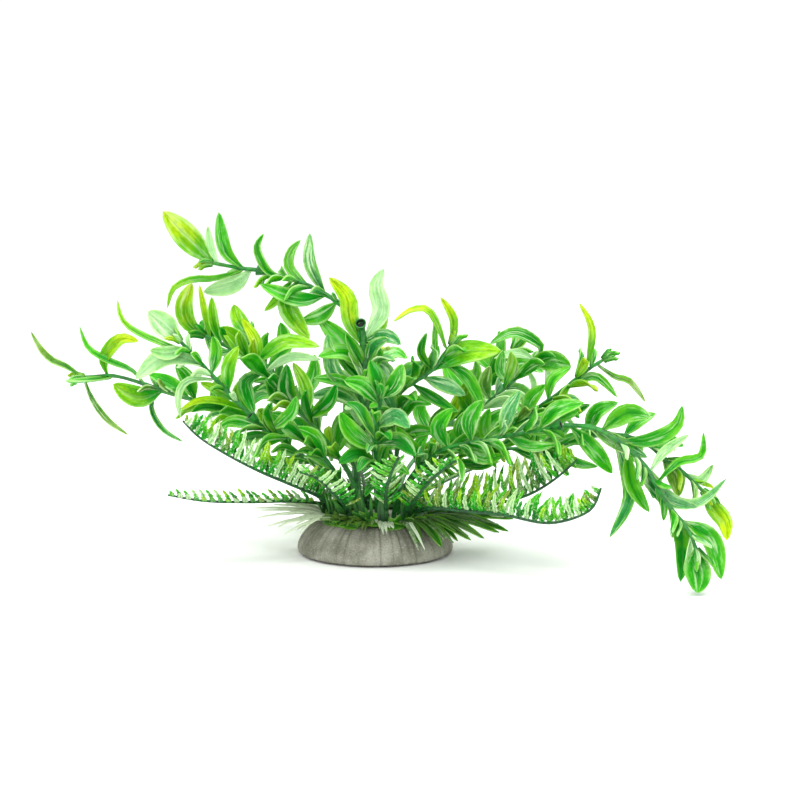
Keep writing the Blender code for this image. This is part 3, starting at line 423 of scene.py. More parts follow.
# %% Mix the cast stone
stone = Paint("cast_stone")
grain = stone.noise(1400.0, 4.0, 0.65)
blotch = stone.noise(110.0, 3.0)
stone_tone = stone.coats(
    stone.mix(blotch.step(0.3, 0.7), ink(112, 113, 97), ink(156, 156, 142)),
    (grain.step(0.54, 0.66) * 0.4, ink(192, 190, 180)),
    ((1.0 - grain.step(0.34, 0.46)) * 0.55, ink(104, 100, 88)),
    # Painted shade in the grooves and a painted shadow along the bottom edge, both from the groove attribute.
    (stone.attribute("groove") * 0.7, ink(70, 72, 56)),
)
stone.set(Base_Color=stone_tone, Roughness=0.78 + grain * 0.18)
stone.bump(grain + blotch * 0.6, 0.7, 0.0005)
print("stone material has", len(stone.tree.nodes), "nodes")

# %% [markdown]
# ## One blade, modelled by hand
#
# Leaves, leaflets and needles are all thin blades, and they differ in outline. A flat grid is the
# simplest start: its rows are squeezed to the outline, its middle line is pressed down for the
# midrib, the end row is merged into a point, and Solidify gives it thickness. The grid brings a UV
# map that runs from root to tip. Each blade is modelled once and bent later, copy by copy, and it
# keeps to under a hundred faces because hundreds of copies follow.


# %% Give a mesh its tint
def tint_mesh(mesh, tint):
    """Stores a blade's colours at root and tip, and its amount of pale dust and painted sheen, on every
    point.
    """
    root, tip, dust_and_sheen = tint
    count = len(mesh.vertices)
    for key, value in (("root_tint", root), ("tip_tint", tip)):
        layer = mesh.attributes.new(key, "FLOAT_COLOR", "POINT")
        layer.data.foreach_set("color", np.tile((*value, 1.0), count))
    mesh.attributes.new("dust_and_sheen", "FLOAT", "POINT").data.foreach_set("value", np.full(count, dust_and_sheen))


print("attributes for a blade: root_tint, tip_tint, dust")

# %% Model a blade on a grid
PARKED = 10.0
LEAST_WIDTH = 0.001
HAIR = 1e-6


def pick_vertices(piece, wanted):
    """Selects, in edit mode, the vertices whose place passes the test, and nothing else."""
    bpy.ops.mesh.select_all(action="DESELECT")
    bpy.ops.object.mode_set(mode="OBJECT")
    for vertex in piece.data.vertices:
        vertex.select = wanted(vertex.co)
    bpy.ops.object.mode_set(mode="EDIT")


def model_blade(name, outline, size, groove, thickness, keel, look):
    """A closed blade along +X: outline gives (share of length, share of width) from root to tip."""
    length, width = size
    spans = len(outline) - 1
    bpy.ops.object.select_all(action="DESELECT")
    bpy.ops.mesh.primitive_grid_add(
        x_subdivisions=spans, y_subdivisions=2, size=1.0, location=(0.5, 0.0, 0.0)
    )
    piece = bpy.context.active_object
    piece.name = name
    bpy.ops.object.transform_apply(location=True, rotation=True, scale=True)
    bpy.ops.object.mode_set(mode="EDIT")
    bpy.ops.mesh.select_mode(type="VERT")
    # Each row is squeezed, slid to its place and parked far ahead, where no later pick finds it.
    for i in range(spans, -1, -1):
        share, wide = outline[i]
        at = i / spans
        pick_vertices(piece, lambda co, at=at: abs(co.x - at) < 0.2 / spans)
        bpy.ops.transform.resize(value=(1.0, max(wide, LEAST_WIDTH), 1.0), center_override=(at, 0.0, 0.0))
        bpy.ops.transform.translate(value=(PARKED + share - at, 0.0, 0.0))
    bpy.ops.mesh.select_all(action="SELECT")
    bpy.ops.transform.translate(value=(-PARKED, 0.0, 0.0))
    pick_vertices(piece, lambda co: co.x > 0.9999)
    bpy.ops.mesh.merge(type="CENTER")
    bpy.ops.mesh.select_all(action="SELECT")
    bpy.ops.transform.resize(value=(length, width, 1.0), center_override=(0.0, 0.0, 0.0))
    pick_vertices(piece, lambda co: abs(co.y) < 0.1 * HAIR and HAIR < co.x < length * 0.999)
    bpy.ops.transform.translate(value=(0.0, 0.0, -groove))
    bpy.ops.object.mode_set(mode="OBJECT")
    wall = piece.modifiers.new("wall", "SOLIDIFY")
    wall.thickness = thickness
    wall.offset = -1.0
    select_only(piece)
    bpy.ops.object.modifier_apply(modifier="wall")
    bpy.ops.object.mode_set(mode="EDIT")
    low = -groove - thickness * 0.6
    pick_vertices(piece, lambda co: abs(co.y) < 10 * HAIR and co.z < low and co.x < length * 0.9)
    bpy.ops.transform.translate(value=(0.0, 0.0, -keel))
    bpy.ops.mesh.select_all(action="SELECT")
    bpy.ops.mesh.normals_make_consistent(inside=False)
    bpy.ops.object.mode_set(mode="OBJECT")
    bpy.ops.object.shade_smooth_by_angle(angle=math.radians(62.0))
    piece.data.materials.append(look.material)
    print(name, "has", len(piece.data.polygons), "faces, mm:", [round(v / MM, 2) for v in piece.dimensions])
    return piece


# %% Model the leaf, the leaflet and the needle
LEAF_OUTLINE = (
    (0.0, 0.13), (0.06, 0.19), (0.13, 0.37), (0.21, 0.62), (0.30, 0.83), (0.39, 0.95), (0.49, 1.0),
    (0.59, 0.98), (0.69, 0.89), (0.78, 0.75), (0.86, 0.57), (0.94, 0.33), (1.0, 0.0),
)
LEAFLET_OUTLINE = (
    (0.0, 0.42), (0.16, 1.0), (0.30, 0.62), (0.48, 0.92), (0.62, 0.48), (0.80, 0.62), (1.0, 0.0),
)
NEEDLE_OUTLINE = ((0.0, 0.8), (0.22, 1.0), (0.46, 0.92), (0.72, 0.66), (1.0, 0.0))
LEAF_SIZE = (25 * MM, 8 * MM)
LEAFLET_SIZE = (12 * MM, 2 * MM)
NEEDLE_SIZE = (20 * MM, 1.7 * MM)
leaf_form = model_blade("leaf_form", LEAF_OUTLINE, LEAF_SIZE, 0.75 * MM, 0.5 * MM, 0.25 * MM, blade)
leaflet_form = model_blade(
    "leaflet_form", LEAFLET_OUTLINE, LEAFLET_SIZE, 0.12 * MM, 0.3 * MM, 0.1 * MM, fern
)
needle_form = model_blade(
    "needle_form", NEEDLE_OUTLINE, NEEDLE_SIZE, 0.15 * MM, 0.55 * MM, 0.15 * MM, frosted
)

# %% [markdown]
# ## Bending a blade along its route
#
# On the plant every leaf has its own route from stem to tip, with its own width and tilt. Bending
# each one in edit mode would take days, and a curve modifier twists on steep routes. So the copy's
# vertices are moved in one array sum: the distance along the blade picks a frame on the route, and
# the distances across and above are measured in that frame.


# %% Smooth lines and even stations
def spline(points, along):
    """A point of the smooth line through points, along counting from 0 at the first."""
    last = len(points) - 1
    first = min(int(along), last - 1)
    share = along - first
    before, start, end, after = (Vector(points[min(max(first + k, 0), last)]) for k in (-1, 0, 1, 2))
    bend = (2 * before - 5 * start + 4 * end - after) * share**2
    ease = (3 * start - before - 3 * end + after) * share**3
    return 0.5 * (2 * start + (end - before) * share + bend + ease)


def smooth_line(points, per_span):
    return [spline(points, i / per_span) for i in range((len(points) - 1) * per_span + 1)]


def stations(line, shares):
    """Places at these shares of a line's length, as rows of an array."""
    rows = np.array([tuple(point) for point in line])
    lengths = np.concatenate([[0.0], np.cumsum(np.linalg.norm(np.diff(rows, axis=0), axis=1))])
    wanted = np.array(shares) * lengths[-1]
    return np.stack([np.interp(wanted, lengths, rows[:, k]) for k in range(3)], axis=1)


def length_of(line):
    return sum((b - a).length for a, b in zip(line, line[1:]))


def unit(rows):
    return rows / np.maximum(np.linalg.norm(rows, axis=-1, keepdims=True), 1e-9)


print("a straight line's middle:", stations([Vector((0, 0, 0)), Vector((2, 0, 0))], [0.5])[0])

# %% Bend a copy of a blade
FRAMES = 25
SHARES = np.linspace(0.0, 1.0, FRAMES)


def always(way):
    """The width of a blade runs this way all along it."""
    row = np.array(tuple(way))
    return lambda middles, alongs: np.tile(row, (len(middles), 1))


def bent_blade(form, line, side_of, width, tint, twist=0.0, cup=0.0):
    """A copy of a blade laid along a line. side_of(middles, alongs) gives the way its width runs."""
    middles = stations(line, SHARES)
    alongs = unit(np.gradient(middles, axis=0))
    sides = side_of(middles, alongs)
    sides = unit(sides - alongs * np.sum(sides * alongs, axis=1, keepdims=True))
    backs = np.cross(sides, alongs)
    turn = np.radians(twist) * SHARES[:, None]
    cosine, sine = np.cos(turn), np.sin(turn)
    sides, backs = sides * cosine + backs * sine, backs * cosine - sides * sine
    mesh = form.data.copy()
    flat = np.empty(len(mesh.vertices) * 3)
    mesh.vertices.foreach_get("co", flat)
    flat = flat.reshape(-1, 3)
    length, whole = max(flat[:, 0]), max(flat[:, 1]) - min(flat[:, 1])
    share = np.clip(flat[:, 0] / length, 0.0, 1.0)
    wide = flat[:, 1] * (width / whole)
    lift = flat[:, 2] + cup * (flat[:, 1] / (whole / 2)) ** 2 * width

    def here(rows):
        return np.stack([np.interp(share, SHARES, rows[:, k]) for k in range(3)], axis=1)

    bent = here(middles) - here(sides) * wide[:, None] + here(backs) * lift[:, None]
    mesh.vertices.foreach_set("co", bent.ravel())
    tint_mesh(mesh, tint)
    return put_in_scene(form.name, mesh)


def stand_for(piece, node):
    """The piece rides on the plant's one body, in place of a solid."""
    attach(piece, "root")
    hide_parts(node)
    print(piece.name, "stands for", node, "with", len(piece.data.polygons), "faces")


def join_as_dressed(node, pieces):
    """Joins the pieces into one mesh that stands for a solid."""
    select_only(*pieces)
    bpy.ops.object.join()
    whole = bpy.context.active_object
    whole.name = node + "_dressed"
    whole.data.name = whole.name
    stand_for(whole, node)


# %% [markdown]
# ## Tints of the moulded leaves
#
# The leaves were dyed by hand in the mould, so neighbours differ: deep green, plain green, lime and
# yellow tips, an olive, a grey blue-green and a pale one. The grey and pale colours are partly painted
# sheen, the light that the glossy leaves reflect. A tint is a colour at the root, one at the tip, and
# how much pale dust and painted sheen the leaf carries. A small seeded draw moves each a little.

# %% List the tints
TINTS = {
    "deep": (ink(0, 100, 6), ink(0, 146, 8), 0.02),
    "green": (ink(0, 134, 4), ink(70, 184, 20), 0.15),
    "lime": (ink(10, 146, 4), ink(150, 206, 8), 0.10),
    "yellow": (ink(84, 166, 0), ink(200, 222, 0), 0.02),
    "olive": (ink(52, 112, 24), ink(132, 162, 46), 0.26),
    "blue": (ink(2, 118, 44), ink(60, 162, 84), 0.32),
    "pale": (ink(86, 166, 72), ink(156, 212, 122), 0.62),
}
DARKEST_SHADE = 0.84
SHADE_SPREAD = 0.32
DUST_AND_SHEEN_SPREAD = 0.22
DUST_AND_SHEEN_MIDDLE = 0.4


def tint_of(name, draw):
    """The named tint, a little lighter or darker from leaf to leaf."""
    root, tip, dust_and_sheen = TINTS[name]
    shade = DARKEST_SHADE + SHADE_SPREAD * draw.random()
    dust_and_sheen += DUST_AND_SHEEN_SPREAD * (draw.random() - DUST_AND_SHEEN_MIDDLE)
    return [v * shade for v in root], [v * shade for v in tip], dust_and_sheen


print("tints:", ", ".join(TINTS))

# %% [markdown]
# ## Stems and their sockets
#
# A stem is a tapering round bar with a slight swelling where leaves leave it. A curve with a round
# bevel follows the route exactly, and its point radii make the swellings. Where one length plugs
# into the next there is a moulded cup, turned from a cylinder: its mouth is inset and pushed in to
# open the bore, and its rim is bevelled.

# %% Draw a stem along its route
STEM_RADIUS = 0.95 * MM
STEM_TIP_RADIUS = 0.62 * MM
TRUNK_RADIUS = 1.9 * MM
TRUNK_TIP_RADIUS = 1.2 * MM
FOOT_HEIGHT = 14.0 * MM
HOLE_DEPTH = 5.0 * MM
UPRIGHT_ABOVE_FOOT = 3.0 * MM
PLAY = 0.35 * MM
STATION_PITCH = 2.5 * MM
LEAST_STATIONS = 4
TAPER_CURVE = 1.3
SWELLING = 0.28
SWELLING_REACH = 0.8
PLAIN_STATIONS = 2


def bar(name, line, radii, look):
    """A round bar along a line."""
    curve = bpy.data.curves.new(name, "CURVE")
    curve.dimensions = "3D"
    curve.bevel_depth = 1.0
    curve.bevel_resolution = 1
    curve.use_fill_caps = True
    strand = curve.splines.new("POLY")
    strand.points.add(len(line) - 1)
    for point, position, radius in zip(strand.points, line, radii):
        point.co = (*position, 1.0)
        point.radius = radius
    select_only(put_in_scene(name, curve))
    bpy.ops.object.convert(target="MESH")
    piece = bpy.context.active_object
    bpy.ops.object.mode_set(mode="EDIT")
    bpy.ops.mesh.select_all(action="SELECT")
    bpy.ops.mesh.remove_doubles(threshold=HAIR)
    bpy.ops.mesh.normals_make_consistent(inside=False)
    bpy.ops.object.mode_set(mode="OBJECT")
    bpy.ops.object.shade_smooth_by_angle(angle=math.radians(50.0))
    piece.data.materials.clear()
    piece.data.materials.append(look.material)
    return piece


def footed(hole, route):
    """A stem's route with its upright foot, which stands in the cast disc."""
    x, near = hole
    heights = (FOOT_HEIGHT - HOLE_DEPTH + PLAY, FOOT_HEIGHT + UPRIGHT_ABOVE_FOOT)
    return [picture(Vector((x * MM, -near * MM, z))) for z in heights] + route


def even_line(smooth):
    """Even stations, close together, along a smooth line."""
    count = max(round(length_of(smooth) / STATION_PITCH), LEAST_STATIONS)
    return [Vector(row) for row in stations(smooth, np.linspace(0.0, 1.0, count + 1))]


def standing_line(hole, route):
    """The stations of a stem that stands in the foot. They start straight, in its hole."""
    whole = footed(hole, route)
    return [place(whole[0])] + even_line([place(point) for point in smooth_line(whole[1:], 12)])


def plugged_line(route):
    """The stations of a stem that starts a little inside the socket it plugs into."""
    first, second = place(route[0]), place(route[1])
    inside = picture(first + (second - first).normalized() * PLAY)
    return even_line([place(point) for point in smooth_line([inside] + route[1:], 12)])


def nearest(line, point):
    """How far along a stem's line, in stations, looks nearest to this picture point."""
    return min((math.dist(picture(line[i])[:2], point), i) for i in range(1, len(line)))[1]


def stem_bar(name, line, roots, root_radius, tip_radius):
    """The stem, a little thicker at each station where a leaf is rooted."""
    radii = []
    for i in range(len(line)):
        swell = max((math.exp(-((i - r) / SWELLING_REACH) ** 2) for r in roots), default=0.0)
        taper = root_radius + (tip_radius - root_radius) * (i / (len(line) - 1)) ** TAPER_CURVE
        radii.append(taper * (1.0 + (SWELLING * swell if i > PLAIN_STATIONS else 0.0)))
    return bar(name, line, radii, stalk)


print("a stem's radius in mm:", STEM_RADIUS / MM, "to", STEM_TIP_RADIUS / MM)

# %% Turn a socket
SOCKET_RADIUS = 2.4 * MM
SOCKET_LENGTH = 4.2 * MM
SOCKET_TAIL = 0.42
BORE = STEM_RADIUS + PLAY
BORE_DEPTH = 0.55 * SOCKET_LENGTH
bpy.ops.object.select_all(action="DESELECT")
bpy.ops.mesh.primitive_cylinder_add(
    vertices=20, radius=SOCKET_RADIUS, depth=SOCKET_LENGTH, location=(0.0, 0.0, -SOCKET_LENGTH / 2)
)
socket_form = bpy.context.active_object
socket_form.name = "socket_form"
bpy.ops.object.transform_apply(location=True, rotation=True, scale=True)
bpy.ops.object.mode_set(mode="EDIT")
bpy.ops.mesh.select_mode(type="VERT")
pick_vertices(socket_form, lambda co: co.z < -0.9 * SOCKET_LENGTH)
bpy.ops.transform.resize(value=(SOCKET_TAIL, SOCKET_TAIL, 1.0), center_override=(0.0, 0.0, -SOCKET_LENGTH))
bpy.ops.mesh.select_mode(type="FACE")
bpy.ops.mesh.select_all(action="DESELECT")
bpy.ops.object.mode_set(mode="OBJECT")
for face in socket_form.data.polygons:
    face.select = face.normal.z > 0.9
bpy.ops.object.mode_set(mode="EDIT")
bpy.ops.mesh.inset(thickness=SOCKET_RADIUS - BORE)
bpy.ops.mesh.extrude_region_move(TRANSFORM_OT_translate={"value": (0.0, 0.0, -BORE_DEPTH)})
bpy.ops.object.mode_set(mode="OBJECT")
rim = socket_form.modifiers.new("rim", "BEVEL")
rim.width = 0.22 * MM
rim.segments = 2
rim.limit_method = "ANGLE"
rim.angle_limit = math.radians(50.0)
bpy.ops.object.modifier_apply(modifier="rim")
bpy.ops.object.shade_smooth_by_angle(angle=math.radians(40.0))
socket_form.data.materials.append(stalk.material)
socket_form.data.materials.append(bore_shade.material)
# Faces inside the bore take the dark lining, painted shade.
for face in socket_form.data.polygons:
    inside = math.hypot(face.center.x, face.center.y) < BORE * 1.04
    face.material_index = 1 if inside and face.center.z < -0.3 * MM else 0
print("socket has", len(socket_form.data.polygons), "faces")


def socket(mouth, direction, bore=BORE):
    """A copy of the socket with its mouth here, open this way, and bored this wide."""
    mesh = socket_form.data.copy()
    for vertex in mesh.vertices:
        if math.hypot(vertex.co.x, vertex.co.y) < BORE * 1.2 and vertex.co.z > -1.1 * BORE_DEPTH:
            vertex.co.x *= bore / BORE
            vertex.co.y *= bore / BORE
    mesh.transform(Matrix.Translation(mouth) @ direction.to_track_quat("Z", "Y").to_matrix().to_4x4())
    return put_in_scene("socket", mesh)


def end_socket(end, way):
    """A socket half way over a stem's end."""
    return socket(end + way * 0.5 * SOCKET_LENGTH, way)


# %% [markdown]
# ## A whole spray
#
# A spray is a stem, its listed leaves, a few more that point to the front and the back, and a tuft of
# young leaves at the growing end. Ludwigia leaves stand in crossed pairs: one pair left and right,
# the next front and back. The listed leaves are the ones that make the outline, and the crossed
# pairs between them are drawn from a seeded generator, so each run gives the same plant.

# %% Give leaves their frames
LISTED_TWIST = 16.0
GROWN_TWIST = 20.0


def facing(face, whole, base):
    """Tilts a listed leaf about its route, so that its upper face looks up rather than down."""
    turn = math.radians(face)
    tilt = math.copysign(math.cos(turn), -whole.cross(EYE - base).z)
    eye = np.array(tuple(EYE))

    def side_of(middles, alongs):
        across = unit(np.cross(alongs, eye - middles))
        toward = np.cross(across, alongs)
        return across * math.sin(turn) + toward * tilt

    return side_of


def listed_leaf(line, row, draw):
    """One leaf of a list: it leaves the stem and follows its picture points."""
    tint, lean, width, face, *route = row
    root = nearest(line, route[0])
    base = picture(line[root])
    flat = [base[:2]] + route[1:]
    spans = np.concatenate([[0.0], np.cumsum([math.dist(a, b) for a, b in zip(flat, flat[1:])])])
    points = [(x, y, base[2] + lean * s / spans[-1]) for (x, y), s in zip(flat, spans)]
    path = [place(point) for point in smooth_line(points, 8)]
    side_of = facing(face, path[-1] - path[0], path[0])
    twist = draw.uniform(-LISTED_TWIST, LISTED_TWIST)
    cup = draw.uniform(0.02, 0.09)
    return bent_blade(leaf_form, path, side_of, width * MM, tint_of(tint, draw), twist, cup), root


def grown_leaf(root, stem_way, out, length, width, tint, draw):
    """A leaf that isn't in a list: it leaves the stem along out and arches over."""
    sag = Vector((0.0, 0.0, -0.16 * length))
    middle = root + out * (0.55 * length) + stem_way * (0.16 * length)
    path = smooth_line([root, middle, root + out * length + stem_way * (0.10 * length) + sag], 6)
    way = np.array(tuple(stem_way))
    twist = draw.uniform(-GROWN_TWIST, GROWN_TWIST)
    cup = draw.uniform(0.03, 0.10)
    return bent_blade(leaf_form, path, lambda middles, alongs: np.cross(alongs, way), width, tint, twist, cup)


# %% Grow the leaves between the listed ones
CROSS_SPACING = 6.2 * MM
STEM_START = 0.24
STEM_END = 0.97
GROWN_TO = {"trunk": 0.80, "far_left_tip": 0.45, "top_left_tip": 0.60}
MISSING_LEAVES = 0.12
LENGTH_AT_ROOT = 0.55
LENGTH_GAIN = 0.9
TUFT_LEAVES = 5


def crossed_pairs(line, shares, tints, sizes, draw):
    """Leaves to the front and the back of a stem, between its listed ones."""
    made = []
    for share in shares:
        i = min(max(round(share * (len(line) - 1)), 2), len(line) - 2)
        stem_way = (line[i + 1] - line[i - 1]).normalized()
        sideways = stem_way.cross((EYE - line[i]).normalized()).normalized()
        toward = sideways.cross(stem_way).normalized()
        for sign in (1.0, -1.0):
            if draw.random() < MISSING_LEAVES:
                continue
            out = toward * sign + sideways * draw.uniform(-1.0, 1.0) + stem_way * draw.uniform(0.45, 0.95)
            length = draw.uniform(*sizes) * MM * min(LENGTH_AT_ROOT + LENGTH_GAIN * share, 1.0)
            width = length * draw.uniform(0.23, 0.33)
            tint = tint_of(draw.choice(tints), draw)
            made.append(grown_leaf(line[i], stem_way, out.normalized(), length, width, tint, draw))
    return made


def young_tuft(line, tints, size, draw):
    """The closed young leaves at a growing end."""
    way = (line[-1] - line[-3]).normalized()
    first = way.cross(Vector((0.2, 0.3, 1.0))).normalized()
    second = way.cross(first)
    made = []
    for k in range(TUFT_LEAVES):
        turn = math.radians(90.0 * k + draw.uniform(-20.0, 20.0))
        around = first * math.cos(turn) + second * math.sin(turn)
        out = (way + around * draw.uniform(0.25, 0.6)).normalized()
        length = size * draw.uniform(0.7, 1.1) * MM
        tint = tint_of(draw.choice(tints), draw)
        made.append(grown_leaf(line[-1], way, out, length, length * 0.30, tint, draw))
    return made


print("a crossed pair every", round(CROSS_SPACING / MM, 1), "mm")


# %% Put a spray together
STEM_RADII = (STEM_RADIUS, STEM_TIP_RADIUS)
STANDING_SIZES = (13.0, 22.0)
PLUGGED_SIZES = (8.0, 13.0)
PLUGGED_START = 0.12


def spray(node, line, leaves, seed, sizes, start, cup=False, tuft=0.0, radii=STEM_RADII, extra=()):
    """One moulded spray in place of its solid."""
    draw = random.Random(seed)
    tints = [row[0] for row in leaves]
    listed = [listed_leaf(line, row, draw) for row in leaves]
    pieces = [stem_bar(node + "_bar", line, [root for _, root in listed], *radii)]
    pieces += [piece for piece, _ in listed]
    if cup:
        pieces.append(end_socket(line[-1], (line[-1] - line[-2]).normalized()))
    grown = GROWN_TO.get(node, STEM_END) - start
    count = max(round(length_of(line) * grown / CROSS_SPACING), 1)
    shares = [start + grown * (k + 0.5) / count for k in range(count)]
    pieces += crossed_pairs(line, shares, tints, sizes, draw)
    if tuft:
        pieces += young_tuft(line, tints, tuft, draw)
    join_as_dressed(node, pieces + list(extra))


PLANS = {}


def plan(node, route, leaves, hole=None, tuft=0.0):
    """Notes a spray to build. One with no hole is plugged in, and one with no tuft ends in a cup."""
    PLANS[node] = (route, leaves, hole, tuft)


# %% [markdown]
# ## The trunk
#
# The thick dark stem at the middle is the plant's spine. Its head is an open socket that faces the
# viewer, left empty on the real plant, and a short arm with a smaller socket carries the top left
# spray. Long leaves leave it on both sides. It is the first spray built, with its own radii.

# %% Route of the trunk and its leaves
# Each leaf row: its tint, how many mm its tip leans to the viewer, its width in mm, how squarely it
# faces the viewer in degrees, and its picture points from stem to tip.
TRUNK_HOLE = (-5.5, 0.0)
TRUNK_START = 0.22
TRUNK_ROUTE = [(356, 480, 1), (360, 440, 1), (365, 400, 0), (365, 360, -1), (362, 328, -1)]
TRUNK_LEAVES = [
    ("yellow", 4, 7.6, 75, (362, 348), (351, 322), (347, 297), (329, 277)),
    ("pale", -8, 7.6, 80, (364, 342), (381, 312), (376, 286), (384, 268)),
    ("blue", 7, 6.4, 65, (367, 338), (386, 336), (401, 344)),
    ("green", 6, 4.0, 40, (367, 342), (379, 352), (378, 367)),
    ("blue", 6, 6.6, 75, (366, 392), (335, 374), (327, 334)),
    ("green", -6, 7.0, 70, (366, 386), (350, 364), (332, 338)),
    ("pale", 5, 3.4, 50, (367, 384), (358, 366), (349, 352)),
    ("blue", 6, 8.0, 75, (367, 360), (385, 372), (388, 409)),
    ("blue", -7, 6.6, 70, (365, 406), (338, 394), (310, 396)),
    ("green", 5, 5.2, 65, (366, 398), (342, 381), (313, 378)),
    ("green", -6, 8.6, 75, (364, 418), (345, 420), (336, 453)),
    ("yellow", -4, 5.0, 60, (364, 424), (352, 424), (349, 440)),
    ("deep", 7, 5.6, 70, (363, 426), (377, 434), (373, 452)),
    ("green", -9, 8.6, 75, (366, 376), (344, 344), (318, 318)),
    ("green", 9, 7.4, 65, (366, 366), (344, 352), (318, 356)),
    ("deep", 9, 6.0, 65, (366, 374), (356, 352), (346, 334)),
    ("blue", 12, 5.6, 60, (366, 364), (374, 346), (388, 338)),
]
HEAD_REACH = 0.9 * SOCKET_LENGTH
HEAD_BORE = 1.8 * MM
HEAD_FACING = Vector((-0.15, -0.80, 0.62)).normalized()
ARM_START = (366, 350, -1)
ARM_INSIDE = 0.1 * MM
print("trunk leaves:", len(TRUNK_LEAVES))

# %% [markdown]
# ## The sprays to the left
#
# Four sprays lean left. Three of them are two lengths plugged together, because the moulds are short:
# the first length ends in a cup and the second starts a little inside it. Each length is a piece of
# its own. Their routes and leaves were read from the view, leaf by leaf, which is slow but is the
# only way to get this plant and not just any plant. A spray of the upper centre is listed with them.

# %% Routes of the left sprays
plan("top_left_spray", [(351, 315, -2), (344, 308, -2.5), (330, 297, -4), (300, 282, -6), (262, 271, -8)], [
    ("green", 4, 4.2, 55, (287, 279), (268, 271), (257, 249), (264, 234)),
    ("green", -4, 4.6, 55, (311, 287), (290, 269), (291, 252), (301, 240)),
    ("blue", 3, 5.2, 70, (325, 294), (310, 264), (310, 233)),
    ("green", 7, 7.0, 72, (328, 297), (298, 299), (260, 284)),
    ("lime", -5, 4.0, 55, (290, 280), (276, 300), (264, 311)),
    ("lime", 6, 8.4, 80, (296, 283), (287, 306), (310, 339)),
    ("green", -6, 6.6, 65, (338, 303), (320, 316), (300, 321)),
])
plan("top_left_tip", [(258, 270, -8), (240, 268, -9), (213, 263, -10)], [
    ("yellow", 1, 10.4, 80, (212, 263), (194, 244), (163, 211)),
    ("green", 4, 5.8, 70, (246, 268), (225, 250), (219, 212)),
    ("pale", -5, 3.8, 50, (222, 265), (211, 248), (208, 226)),
    ("lime", 5, 3.6, 40, (243, 268), (214, 278), (192, 279), (173, 288), (167, 308)),
    ("pale", -5, 7.4, 75, (254, 270), (234, 284), (203, 292)),
], tuft=8.0)
plan("left_spray", [(341, 484, 10), (325, 459, 13), (304, 441, 16), (274, 434, 18), (254, 419, 20)], [
    ("deep", 5, 5.0, 55, (312, 446), (290, 431), (262, 440)),
    ("green", 4, 7.0, 70, (327, 461), (315, 438), (295, 427)),
    ("deep", 4, 4.4, 50, (274, 434), (267, 420), (272, 402)),
    ("green", -3, 5.6, 65, (268, 430), (290, 414), (296, 396)),
    ("deep", 5, 5.0, 50, (338, 478), (322, 476), (306, 482)),
], hole=(-10.5, 6.5))
plan("left_spray_tip", [(250, 415, 20), (222, 386, 22), (200, 362, 23), (181, 342, 24)], [
    ("pale", 3, 9.6, 75, (181, 342), (163, 324), (148, 311)),
    ("pale", 5, 6.0, 60, (186, 347), (168, 353), (150, 350)),
    ("pale", 3, 8.2, 70, (202, 364), (176, 355), (157, 360), (135, 379)),
    ("lime", -4, 3.4, 50, (190, 352), (160, 342), (126, 324), (118, 300)),
    ("yellow", 4, 4.2, 45, (246, 411), (222, 401), (199, 400), (180, 409)),
    ("lime", -4, 4.6, 55, (238, 402), (220, 391), (200, 382)),
    ("pale", 4, 3.4, 50, (214, 377), (188, 380), (178, 396), (180, 418)),
    ("lime", 4, 6.2, 70, (229, 393), (228, 368), (238, 346)),
    ("green", -4, 6.0, 60, (210, 373), (216, 352), (212, 336)),
], tuft=7.0)
plan("far_left_spray", [
    (338, 488, -8), (308, 460, -14), (262, 428, -20), (228, 409, -24), (206, 403, -26),
], [
    ("green", -4, 6.0, 65, (228, 410), (216, 394), (222, 374)),
    ("lime", 4, 6.4, 70, (250, 420), (238, 398), (240, 380)),
    ("green", -4, 5.6, 60, (266, 431), (248, 440), (232, 432)),
    ("green", 4, 6.4, 65, (288, 446), (284, 426), (270, 412)),
    ("deep", -4, 5.4, 55, (304, 458), (286, 462), (266, 456)),
], hole=(-12.0, -4.0))
plan("far_left_tip", [(202, 402, -26), (172, 394, -29), (150, 386, -31), (115, 376, -34), (85, 377, -37)], [
    ("green", 4, 5.0, 25, (115, 376), (90, 379), (65, 380)),
    ("olive", 1, 3.4, 50, (86, 377), (66, 366), (52, 360), (41, 349), (31, 331)),
    ("olive", -3, 3.2, 45, (86, 377), (90, 394), (98, 408), (110, 422), (129, 435)),
    ("yellow", 3, 5.8, 75, (109, 376), (104, 358), (120, 339), (139, 341)),
    ("lime", 5, 9.0, 80, (162, 388), (138, 397), (113, 384)),
    ("green", -3, 3.4, 50, (146, 385), (132, 370), (106, 359), (88, 347), (80, 326)),
    ("blue", -4, 3.2, 45, (164, 391), (152, 402), (154, 416), (165, 431), (183, 441)),
    ("green", -4, 6.4, 65, (188, 399), (172, 384), (148, 373)),
    ("green", 3, 7.0, 70, (196, 401), (188, 380), (176, 364)),
], tuft=7.0)
